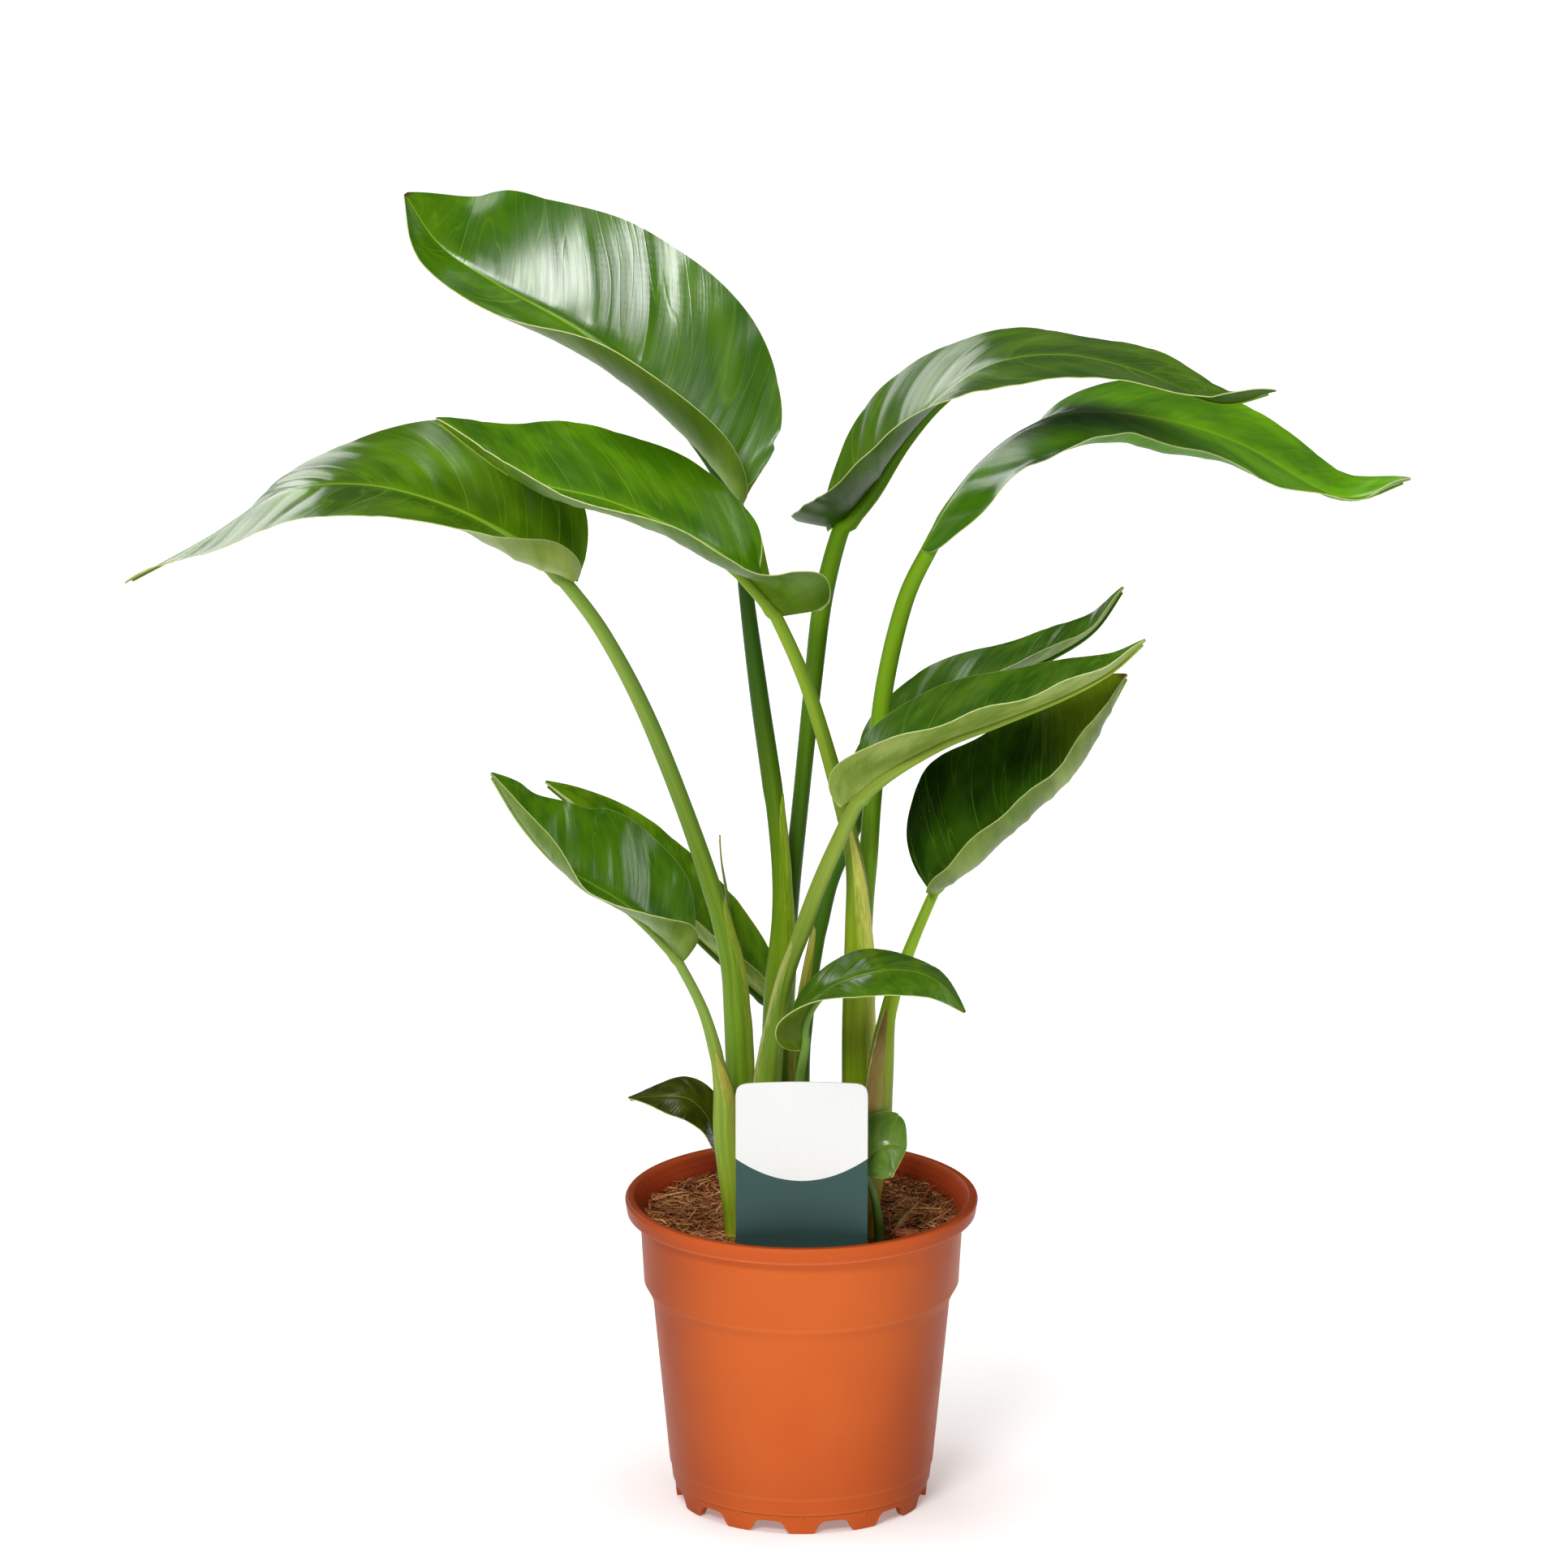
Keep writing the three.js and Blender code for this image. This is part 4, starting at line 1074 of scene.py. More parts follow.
LEAVES = [
    Leaf(
        "leaf_top",
        LeafShape(
            rib=(
                (-28, 15, 491), (-46, 25, 517), (-72, 38, 544), (-106, 52, 567), (-147, 63, 588),
                (-173, 70, 605), (-189, 75, 628),
            ),
            half=58, widest=0.42, point=2.5,
            left=Half((0, -8, -12, -4, 0), (100, 80, 60, 15, 0), wave=(1, 3, 0)),
            right=Half(
                (60, 70, 68, 58, 35), (10, 0, 0, 0, 0), (1, 1.04, 1, 1.05, 1.7), lobe=-6,
                wave=(0.4, 4, 0.1),
                damage=(Damage(Fault.NICK, 0.06, 0.03, 3), Damage(Fault.CRUMPLE, 0.3, 0.5, 0.5)),
            ),
            stalk=(
                (-12, 4, STEM_END), (-12, 4, 209), (-11, 4, 249), (-9, 4, 290), (-12, 7, 338),
                (-20, 10, 397), (-26, 12, 445), (-28, 15, 491),
            ),
            radii=(7.5, 7.5, 7.5, 7.6, 5, 4.8, 4.4, 3.6),
            creases=7, pleat=0.35,
        ),
        BladeTop(paint(54, 98, 3), paint(82, 126, 6), rib_width=1.8, shine=0.12, seed=1.0),
        BladeUnder(paint(122, 153, 51), paint(92, 122, 27)),
        StemSkin(paint(118, 146, 8), paint(108, 142, 4), paint(50, 86, 12), 0.15, 0.42),
        Sheath(351, (-4, -2, -4, -8, -14), -150, paint(160, 186, 40), paint(168, 138, 92)),
    ),
    Leaf(
        "leaf_far_left",
        LeafShape(
            rib=(
                (-108, -10, 460), (-129, -16, 479), (-166, -22, 500), (-205, -28, 512),
                (-243, -34, 510), (-281, -38, 488), (-318, -42, 468),
            ),
            half=52, widest=0.34, point=2.3,
            left=Half(
                (-15, -45, -30, -12, -6, -3, -2, -2, 0, 8, 20),
                (110, 140, 80, 30, 8, 0, 0, 0, 0, 10, 20),
                (0.7, 1.1, 1.1, 1, 1, 1, 1, 1, 1, 1, 1), wave=(1, 3, 0),
            ),
            right=Half((50, 40, 8, -18, -15), wide=(1.3, 1.1, 1, 1, 1), lobe=2, wave=(1.5, 3, 0.2)),
            stalk=(
                (-28, -12, STEM_END), (-29, -12, 185), (-31, -12, 246), (-35, -12, 279),
                (-49, -12, 329), (-72, -11, 391), (-93, -10, 433), (-108, -10, 460),
            ),
            radii=(6.6, 6.8, 7, 6.6, 5, 4.2, 4, 3.6),
            creases=12, pleat=0.7,
        ),
        BladeTop(paint(51, 86, 3), paint(89, 129, 6), rib_width=1.5, seed=2.0),
        BladeUnder(paint(145, 162, 78), paint(113, 135, 46)),
        StemSkin(paint(116, 154, 12), paint(110, 144, 34), paint(126, 154, 64), 0.15, 0.42),
        Sheath(305, (-6, -4, 0, 0, -10), -140, paint(170, 184, 62), paint(176, 160, 96), lift=0.4),
    ),
    Leaf(
        "leaf_mid_left",
        LeafShape(
            rib=(
                (-9, -35, 450), (-28, -42, 474), (-52, -50, 493), (-90, -58, 512), (-132, -66, 526),
                (-170, -75, 556),
            ),
            half=54, widest=0.42, point=2.2,
            left=Half(
                (50, 10, -16, -20, -16, -14, -13, -12, -8, -4, 0),
                (30, 50, 50, 50, 45, 42, 40, 38, 35, 32, 30),
                (0.7, 1, 0.95, 1, 1, 1, 1, 1, 1, 1, 1),
                lobe=11, hang=15, fade=10, wave=(1, 3, 0),
            ),
            right=Half((35, 31, 28, 30, 25), lobe=-22, wave=(0.6, 3, 0.2)),
            stalk=(
                (27, -14, STEM_END), (27, -14, 186), (27, -14, 235), (27, -15, 288), (25, -19, 325),
                (17, -25, 363), (3, -31, 413), (-9, -35, 450),
            ),
            radii=(8, 8.2, 8.2, 8.2, 7, 4.6, 3.8, 3.4),
            creases=10, pleat=0.6,
        ),
        BladeTop(paint(56, 101, 3), paint(87, 133, 8), rib_width=1.6, seed=3.0),
        BladeUnder(paint(97, 132, 16), paint(69, 102, 5)),
        StemSkin(paint(84, 120, 6), paint(134, 158, 14), paint(130, 160, 40), 0.15, 0.36),
        Sheath(
            344, (-8, -4, -5, -15, -64), -130, paint(216, 212, 106), paint(170, 126, 96), reach=11.0
        ),
    ),
    Leaf(
        "leaf_top_right",
        LeafShape(
            rib=(
                (15, 18, 479), (30, 14, 497), (47, 8, 525), (66, 2, 548), (91, -4, 565),
                (123, -12, 571), (157, -18, 565), (195, -26, 552), (222, -30, 558),
            ),
            half=53, widest=0.34, point=2.6,
            left=Half((38, 30, 9, -3, 1, 6), lobe=4, wave=(1, 3, 0)),
            right=Half(
                (-4, -16, -5, 0, 12, 30), (60, 55, 10, 0, 0, 20),
                lobe=10, hang=14, fade=14, wave=(1.5, 3, 0.2),
                damage=(
                    Damage(Fault.CRUMPLE, 0.0, 0.12, 2.0), Damage(Fault.CRUMPLE, 0.45, 0.5, 0.5),
                ),
            ),
            stalk=(
                (-10, 19, STEM_END), (-10, 19, 204), (-8, 19, 257), (-5, 19, 298), (-1, 18, 338),
                (5, 17, 399), (10, 17, 443), (15, 18, 479),
            ),
            radii=(5, 5, 5, 4.6, 4.2, 4, 4.2, 4.6),
            creases=11, pleat=0.8,
        ),
        BladeTop(paint(51, 87, 6), paint(83, 119, 16), rib_width=1.4, seed=4.0),
        BladeUnder(paint(69, 100, 17), paint(41, 71, 3)),
        StemSkin(paint(92, 138, 12), paint(60, 96, 3), paint(92, 134, 6), 0.15, 0.46),
    ),
    Leaf(
        "leaf_far_right",
        LeafShape(
            rib=(
                (58, 5, 475), (68, 8, 493), (83, 11, 512), (104, 14, 528), (131, 18, 536),
                (170, 23, 531), (209, 28, 517), (256, 34, 490), (290, 40, 497),
            ),
            half=48, widest=0.42, point=2.6,
            left=Half((-20, -22, 8, 18, 25), lobe=2, wave=(1, 3, 0)),
            right=Half(
                (-15, -8, -10, -4, 18), (0, 0, 0, 0, 30), lobe=4, wave=(1.5, 5, 0.2),
                damage=(
                    Damage(Fault.FOLD, 0.47, 0.34, 10.5), Damage(Fault.CRUMPLE, 0.42, 0.35, 0.8),
                ),
            ),
            stalk=(
                (29, 1, STEM_END), (29, 1, 210), (29, 1, 283), (32, 1, 323), (34, 1, 352),
                (39, 2, 403), (49, 3, 447), (58, 5, 475),
            ),
            radii=(6, 6, 5.4, 5, 4.8, 4.4, 4.4, 4.2),
            creases=12, pleat=0.6,
        ),
        BladeTop(
            paint(71, 125, 2), paint(105, 164, 4), rib=paint(128, 172, 12), rib_width=2.6, seed=5.0
        ),
        BladeUnder(paint(108, 156, 47), paint(74, 122, 17)),
        StemSkin(paint(108, 150, 20), paint(114, 158, 18), paint(120, 164, 24), 0.15, 0.44),
    ),
    Leaf(
        "leaf_inner_right",
        LeafShape(
            rib=(
                (32, 22, 351), (47, 26, 373), (67, 30, 388), (90, 34, 398), (117, 38, 409),
                (139, 42, 422), (154, 46, 442),
            ),
            half=28, widest=0.36, point=2.2,
            left=Half((30, 25, 20, 16, 15), wave=(1, 3, 0)),
            right=Half((20, 18, 18, 18, 20), (20, 20), wave=(1, 3, 0.2)),
            stalk=(
                (-1, -7, STEM_END), (-1, -7, 210), (1, -6, 241), (5, -2, 268), (13, 8, 303),
                (22, 15, 323), (32, 22, 351),
            ),
            radii=(5.5, 5.5, 5.5, 5.3, 4.8, 4, 3.4),
            creases=8, pleat=0.5,
        ),
        BladeTop(paint(53, 92, 6), paint(84, 127, 18), veins=110.0, seed=6.0),
        BladeUnder(paint(109, 139, 26), paint(83, 114, 14)),
        StemSkin(paint(96, 140, 30), paint(74, 116, 16), paint(60, 100, 16), 0.15, 0.34),
        Sheath(287, (182, 180, 184, 200, 222), 120, paint(184, 176, 70), paint(180, 150, 96)),
    ),
    Leaf(
        "leaf_mid_right",
        LeafShape(
            rib=(
                (23, -40, 361), (39, -43, 376), (66, -46, 392), (92, -50, 403), (123, -55, 417),
                (145, -58, 430), (161, -60, 445),
            ),
            half=32, widest=0.28, point=2,
            left=Half((35, 38, 38, 38, 30), wave=(0.8, 3, 0)),
            right=Half((60, 18, 14, 14, 20), (10, 25, 25, 25, 20), lobe=6, wave=(1.2, 4, 0.2)),
            stalk=(
                (-17, -30, STEM_END), (-17, -30, 191), (-16, -30, 219), (-10, -32, 261),
                (-1, -34, 291), (10, -37, 323), (23, -40, 361),
            ),
            radii=(8, 8.4, 8.4, 6.6, 4.6, 4.1, 3.8),
            creases=8, pleat=0.3,
        ),
        BladeTop(paint(51, 90, 10), paint(87, 125, 26), rib_width=1.0, veins=110.0, seed=7.0),
        BladeUnder(paint(156, 172, 88), paint(114, 139, 49)),
        StemSkin(paint(140, 160, 48), paint(106, 136, 36), paint(142, 164, 62), 0.15, 0.34),
        Sheath(
            290.5, (180, 178, 180, 184, 196), 150, paint(182, 184, 112), paint(165, 125, 90),
            reach=5.0,
        ),
    ),
    Leaf(
        "leaf_low_right",
        LeafShape(
            rib=(
                (61, -5, 306), (74, -6, 321), (92, -8, 340), (109, -10, 356), (124, -12, 369),
                (139, -14, 388), (154, -16, 416),
            ),
            half=52, widest=0.34, point=3.6,
            left=Half((55, 48, 38, 38, 42), wide=(1, 1, 0.88, 0.85, 0.92), wave=(1.2, 4, 0.3)),
            right=Half((-30, -35, -30, -20, -10), (80, 90, 80, 60, 40), wave=(1.2, 4, 0)),
            stalk=(
                (30, -30, STEM_END), (30, -30, 150), (35, -30, 191), (37, -30, 217), (41, -25, 250),
                (50, -16, 276), (61, -5, 306),
            ),
            radii=(6, 6.6, 7.8, 7.8, 6.4, 3.8, 2.8),
            creases=9, pleat=0.6,
        ),
        # the yellow-green towards the tip is a painted glow of light shining through the blade
        BladeTop(
            paint(22, 52, 2), paint(55, 94, 6), rib_width=1.2, veins=120.0,
            tip=paint(92, 52, 24), tip_from=0.965, backlit_glow=paint(120, 140, 8), seed=8.0,
        ),
        BladeUnder(paint(128, 150, 62), paint(88, 112, 28)),
        StemSkin(paint(136, 130, 40), paint(118, 136, 40), paint(144, 178, 40), 0.15, 0.27),
        Sheath(
            255, (196, 204, 206, 214, 236), 108, paint(148, 116, 72), paint(214, 196, 150),
            reach=15.0,
        ),
    ),
    Leaf(
        "leaf_front",
        LeafShape(
            rib=(
                (0, -50, 243), (1, -52, 257), (10, -55, 271), (28, -60, 281), (47, -65, 285),
                (64, -70, 281), (77, -75, 267),
            ),
            half=24, widest=0.38, point=2.4,
            left=Half((40, 22, 14, -6, 0), wave=(0.5, 3, 0)),
            right=Half((30, 5, -12, -22, -10), (40, 0, 0, 0, 0), lobe=3, wave=(0.5, 3, 0.2)),
            stalk=((-2, -43, STEM_END), (-2, -43, 195), (-1, -45, 223), (0, -50, 243)),
            radii=(3, 2.8, 2.4, 2.2),
            creases=6, pleat=0.4,
        ),
        BladeTop(paint(57, 97, 6), paint(86, 125, 20), rib_width=0.8, veins=80.0, seed=9.0),
        BladeUnder(paint(92, 116, 5), paint(71, 94, 2)),
        StemSkin(paint(96, 130, 56), paint(106, 142, 60), paint(116, 150, 64), 0.15, 0.24),
    ),
    Leaf(
        "leaf_low_left",
        LeafShape(
            rib=(
                (-56, -45, 283), (-68, -48, 298), (-83, -52, 313), (-98, -56, 324), (-113, -60, 335),
                (-131, -66, 357), (-146, -70, 383),
            ),
            half=38, widest=0.4, point=2.4,
            left=Half(
                (0, -15, -16, -15, -10), (110, 60, 30, 65, 60), wide=(1, 1, 0.85, 0.7, 0.7),
                lobe=-2, wave=(0.5, 3, 0),
            ),
            right=Half((60, 62, 58, 48, 45), wide=(1, 1, 1, 0.84, 0.9), wave=(1.6, 4, 0.55)),
            stalk=(
                (-31, -28, STEM_END), (-32, -28, 149), (-36, -28, 190), (-38, -30, 218),
                (-46, -38, 254), (-56, -45, 283),
            ),
            radii=(5.2, 5.6, 6.4, 6.2, 3.6, 2.6),
            creases=8, pleat=0.4,
        ),
        BladeTop(paint(61, 106, 3), paint(88, 137, 6), rib_width=1.0, veins=110.0, seed=10.0),
        BladeUnder(paint(122, 144, 62), paint(86, 116, 30)),
        StemSkin(paint(146, 172, 36), paint(140, 166, 60), paint(136, 164, 74), 0.15, 0.28),
        Sheath(
            234.6, (-20, -6, 0, -10, -77), -120, paint(188, 178, 78), paint(196, 166, 92), reach=9.0
        ),
    ),
    Leaf(
        "leaf_back_left",
        LeafShape(
            rib=(
                (-15, 26, 240), (-34, 28, 258), (-54, 30, 277), (-77, 32, 302), (-100, 34, 328),
                (-123, 36, 348),
            ),
            half=28, widest=0.42, point=2.2,
            left=Half(
                (20, 15, 10, 10, 10), (50, 40, 30, 30, 30), wide=(1, 0.75, 0.65, 0.75, 0.8),
                lobe=3, wave=(0.5, 3, 0),
            ),
            right=Half(
                (60, 55, 50, 45, 40), wave=(1, 3, 0.2),
                damage=(Damage(Fault.CRUMPLE, 0.5, 0.4, 1.2),),
            ),
            stalk=((-14, 29, STEM_END), (-14, 28, 173), (-13, 27, 214), (-15, 26, 240)),
            radii=(3.2, 3, 2.6, 2.2),
            creases=8, pleat=0.6,
        ),
        BladeTop(paint(60, 102, 8), paint(112, 152, 18), rib_width=0.9, veins=110.0, seed=11.0),
        BladeUnder(paint(150, 171, 61), paint(100, 128, 22)),
        StemSkin(paint(96, 130, 44), paint(84, 120, 30), paint(80, 112, 26), 0.15, 0.24),
    ),
    Leaf(
        "leaf_seed_left",
        LeafShape(
            rib=((-39, 0, 173), (-45, -1, 191), (-54, -3, 201), (-67, -5, 203), (-83, -8, 203)),
            half=14, widest=0.5, point=1.8,
            left=Half((-25, -25, -35, -30, 0)),
            right=Half((40, 45, 35, 15, 0)),
            stalk=((-34, 3, STEM_END + 8), (-34, 2, 148), (-36, 1, 160), (-39, 0, 173)),
            radii=(2.4, 2.4, 2.2, 1.8),
            creases=5, pleat=0.3,
        ),
        BladeTop(paint(48, 54, 4), paint(85, 89, 12), rib_width=0.5, veins=50.0, seed=12.0),
        BladeUnder(paint(72, 96, 24), paint(56, 78, 14)),
        StemSkin(paint(90, 116, 44), paint(80, 104, 36), paint(66, 84, 20), 0.15, 0.17),
    ),
    Leaf(
        "leaf_seed_right",
        LeafShape(
            rib=((28, -50, 181), (34, -50, 189), (40, -50, 193), (45, -50, 193), (50, -50, 192)),
            half=17, widest=0.5, point=5,
            left=Half((60, 60, 55, 50, 50)),
            right=Half((-50, -50, -45, -45, -40), damage=(Damage(Fault.NICK, 0.62, 0.2, 2.0),)),
            stalk=((38, -50, STEM_END + 8), (37, -50, 152), (34, -50, 169), (28, -50, 181)),
            radii=(3.4, 3.2, 2.6, 1.8),
            creases=5, pleat=0.3,
        ),
        BladeTop(paint(92, 126, 40), paint(116, 149, 60), rib_width=0.5, veins=50.0, seed=13.0),
        BladeUnder(paint(84, 116, 40), paint(70, 100, 30)),
        StemSkin(paint(44, 60, 14), paint(60, 84, 22), paint(88, 116, 48), 0.15, 0.17),
    ),
]


# Pot, compost, card

ROUND = 120
WALL_FROM = 6
CARD_HALF = 31.3


@dataclass(frozen=True)
class PotPlastic(Finish):
    """Moulded orange plastic with a soft sheen, darker on the lip, with painted shade and highlights.

    orange, deep: the two oranges that the wall wanders between
    lip, lip_highlight: colour of the lip, and of the painted highlight along its lower edge
    lip_from: how high the lip starts, mm
    line, lines: colour of the painted highlights on the moulded rings, and how high those rings lie, mm
    inside, speck: colour of the inner wall, darker as painted shade, and of the pale dots
    """

    orange: Colour = paint(214, 102, 44)
    deep: Colour = paint(200, 88, 36)
    lip: Colour = paint(198, 86, 36)
    lip_highlight: Colour = paint(224, 124, 80)
    lip_from: float = 143.2
    line: Colour = paint(230, 138, 84)
    lines: Numbers = (10.0, 18.2, 107.5)
    inside: Colour = paint(190, 74, 38)
    speck: Colour = paint(236, 160, 120)

    def fill(self, g: Graph) -> None:
        """The wall's oranges, the lip, the painted highlights and side shade, then the inside in painted
        shade, the dots and the sheen.
        """
        _, level, inner = g.parts("pot_place")
        cloud = g.clouds(14.0)
        colour = g.over(self.orange, self.deep, cloud, 0.3, 0.75, 0.0, 0.6)
        low = self.lip_from
        colour = g.over(colour, self.lip, level, low, low + 1.0, 0.0, 0.8)
        # painted highlight: a paler band along the lip's lower edge
        edge = g.math(
            "MULTIPLY", g.ease(level, low, low + 0.5), g.ease(level, low + 1.2, low + 2.4, 1.0, 0.0)
        )
        colour = g.mix(g.math("MULTIPLY", edge, 0.45), colour, self.lip_highlight)
        # painted highlights: a paler band at each moulded ring
        for at in self.lines:
            near = g.math("ABSOLUTE", g.math("SUBTRACT", level, at))
            colour = g.over(colour, self.line, near, 0.0, 1.4, 0.2, 0.0)
        # painted shade: the wall darkens where it turns away towards the sides
        facing = g.node("ShaderNodeLayerWeight", {"Blend": 0.5}).outputs["Facing"]
        colour = g.over(colour, g.tint(colour, 0.5, 0.42, 0.3), facing, 0.1, 0.75, 0.0, 0.85)
        # painted shade: the inner wall is a darker orange, with darker rings
        groove = g.math("SINE", g.math("MULTIPLY", level, 2.2))
        shaded_inner_wall = g.over(self.inside, g.tint(self.inside, 0.7, 0.6, 0.5), groove, 0.7, 1.0, 0.0, 0.5)
        colour = g.mix(inner, colour, shaded_inner_wall)
        colour = g.mix(g.specks((190.0, 0.03, 0.07), (60.0, 0.6, 0.68)), colour, self.speck)
        rough = g.ease(cloud, 0.2, 0.8, 0.38, 0.5)
        grain = g.clouds(900.0, 2.0, 0.6)
        g.surface(colour, rough, g.bump(grain, 0.1, 0.0002), Specular_IOR_Level=0.08)


@dataclass
class Pot:
    """The tapered pot: a turned wall with a rolled lip, a shoulder and a notched ring of feet.

    outside, inside: radius and height of each ring, from under the floor up to the lip and back
    notch: height and half width of the gap between two feet, from the ground to its top
    notch_deep, notch_out: how deep the gap is cut, and how far out the cut's middle is, mm
    wedge_out, wedge_high: how far out and how high the middle of a foot's small rib is, mm
    wedge_thick, wedge_tall: how thick that rib is against its width, and its height, mm
    drain_span, drain_ring: from where to where a drain hole is cut, and how far out it is, mm
    bevel, bevel_angle: width of the rounded edges, mm, and from what angle they are, degrees
    skin, floor_top, brim: depth of the outer face, and the heights that the inside lies between, mm
    """

    outside: Points = (
        (56.6, 7.5), (57.4, 0.0), (60.5, 0.0), (61.4, 9.2), (62.3, 9.8), (63.1, 17.4), (63.7, 18.4),
        (71.6, 100.5), (73.2, 104.4), (75.9, 109.4), (77.8, 143.2), (83.9, 143.8), (85.0, 150.6),
        (83.9, 152.0),
    )
    inside: Points = (
        (80.6, 152.0), (79.4, 150.4), (76.5, 143.0), (74.3, 109.6), (70.1, 101.0), (62.1, 18.0),
        (60.4, 9.6),
    )
    feet: int = 12
    notch: Points = (
        (-2.0, 11.6), (0.0, 10.6), (0.5, 9.7), (1.2, 9.0), (2.6, 8.3), (4.2, 7.5), (5.2, 6.8), (5.9, 5.9),
        (6.3, 4.8), (6.5, 3.2),
    )
    notch_deep: float = 16.0
    notch_out: float = 58.0
    wedge_out: float = 61.2
    wedge_high: float = 7.9
    wedge_thick: float = 0.45
    wedge_tall: float = 3.0
    drains: int = 8
    drain_radius: float = 4.5
    drain_span: Numbers = (2.5, 14.5)
    drain_ring: float = 42.0
    bevel: float = 0.55
    bevel_angle: float = 28.0
    skin: float = 1.2
    floor_top: float = 12.0
    brim: float = 151.2

    def turn(self) -> bpy.types.Object:
        """Extrudes a circle ring by ring along the profile, in and out, and closes the floor."""
        profile = self.outside + self.inside
        centre = tuple(POT_AXIS[:2])
        first, low = profile[0]
        piece = fresh(
            "pot_shell", bpy.ops.mesh.primitive_circle_add, vertices=ROUND, radius=first * MM,
            location=(*centre, low * MM),
        )
        bpy.ops.object.transform_apply(location=True, rotation=True, scale=True)

        def climb() -> None:
            """Extrudes each ring out of the last one."""
            for (was, at), (radius, height) in zip(profile, profile[1:]):
                lift = (0, 0, (height - at) * MM)
                bpy.ops.mesh.extrude_region_move(TRANSFORM_OT_translate={"value": lift})
                share, middle = radius / was, (*centre, height * MM)
                bpy.ops.transform.resize(value=(share, share, 1), center_override=middle)

        in_edit_mode(piece, climb, close_ends, face_out)
        return piece

    def gap(self) -> bpy.types.Object:
        """One rounded gap between two feet, as a block that reaches in from outside."""
        block = fresh("notch", bpy.ops.mesh.primitive_cube_add, size=1)
        in_edit_mode(block, lambda: bpy.ops.mesh.subdivide(number_cuts=len(self.notch) - 2))
        x, y, z = points_of(block).T
        level, half = np.array(self.notch).T
        row = np.rint((z + 0.5) * (len(level) - 1)).astype(int)
        depth = self.notch_deep * y - self.notch_out
        move_points(block, np.column_stack([2 * x * half[row], depth, level[row]]) * MM)
        return block

    def wedge(self) -> bpy.types.Object:
        """The small rib over the middle of a foot."""
        rib = fresh("wedge", bpy.ops.mesh.primitive_cone_add, vertices=12, radius1=1.5, radius2=0.4, depth=1)
        x, y, z = points_of(rib).T
        out, high = self.wedge_thick * y - self.wedge_out, self.wedge_high - self.wedge_tall * z
        move_points(rib, np.column_stack([x, out, high]) * MM)
        in_edit_mode(rib, face_out)
        return rib

    def drain(self) -> bpy.types.Object:
        """One drain hole, as a round bar."""
        low, high = self.drain_span
        bar = fresh(
            "drain", bpy.ops.mesh.primitive_cylinder_add, vertices=24, radius=self.drain_radius * MM,
            depth=(high - low) * MM,
        )
        move_points(bar, points_of(bar) + np.array([self.drain_ring, 0, (low + high) / 2]) * MM)
        return bar

    def repeat(
        self, shell: bpy.types.Object, tool: bpy.types.Object, turns: int, start: float, how: str
    ) -> None:
        """Cuts copies of a tool, placed round the axis, out of the shell, or adds them to it.

        Args:
            shell: the piece to change.
            tool: the shape at the front, about the axis as its origin.
            turns: how many of them stand evenly round.
            start: how far round the first one stands, as a share of the step between two.
            how: the boolean operation.
        """
        base = points_of(tool)
        copies = []
        for k in range(turns):
            copy = tool.copy()
            copy.data = tool.data.copy()
            bpy.context.collection.objects.link(copy)
            move_points(copy, turned(base, (0, 1), 2 * math.pi * (k + start) / turns) + POT_AXIS)
            copies.append(copy)
        cutter = fuse(copies)
        apply_modifier(shell, "BOOLEAN", object=cutter, operation=how, solver="EXACT")
        for used in (cutter, tool):
            bpy.data.objects.remove(used, do_unlink=True)

    def mark_walls(self, shell: bpy.types.Object) -> None:
        """Tells the finish each point's radius and height, and whether it is inside."""
        x, y, z = (points_of(shell) - POT_AXIS).T / MM
        radius = np.hypot(x, y)
        rings = np.array(self.outside[WALL_FROM:])
        wall = np.interp(z, rings[:, 1], rings[:, 0]) - self.skin
        inner = (radius < wall) & (z > self.floor_top) & (z < self.brim)
        mark(shell, "pot_place", radius, z, inner)

    def build(self) -> bpy.types.Object:
        """Builds and dresses the pot."""
        shell = self.turn()
        apply_modifier(
            shell, "BEVEL", width=self.bevel * MM, segments=3, limit_method="ANGLE",
            angle_limit=math.radians(self.bevel_angle),
        )
        self.repeat(shell, self.gap(), self.feet, 0.5, "DIFFERENCE")
        self.repeat(shell, self.wedge(), self.feet, 0.0, "UNION")
        self.repeat(shell, self.drain(), self.drains, 0.5, "DIFFERENCE")
        self.mark_walls(shell)
        smooth(shell, 32)
        dress(shell, PotPlastic().make("pot_plastic"))
        return hand_over(shell, "pot")


@dataclass(frozen=True)
class CompostSkin(Finish):
    """Damp coir and bark, each crumb and fibre in its own brown."""

    dark: Colour = paint(42, 23, 14)
    brown: Colour = paint(174, 104, 58)
    straw: Colour = paint(238, 180, 122)

    def fill(self, g: Graph) -> None:
        """Dark to brown to straw, by the crumb's own tone and a fine cloud."""
        tone, _, _ = g.parts("crumb_tone")
        cloud = g.clouds(500.0, 3.0, 0.6)
        mixed = g.math("MULTIPLY_ADD", cloud, 0.35, tone)
        colour = g.over(self.dark, self.brown, mixed, 0.1, 0.7)
        colour = g.over(colour, self.straw, mixed, 0.75, 1.25)
        g.surface(colour, 0.85, g.bump(cloud, 0.5, 0.0006), Specular_IOR_Level=0.2)


class Litter(Enum):
    """What is scattered over the compost."""

    CRUMB = "crumb"
    FIBRE = "fibre"


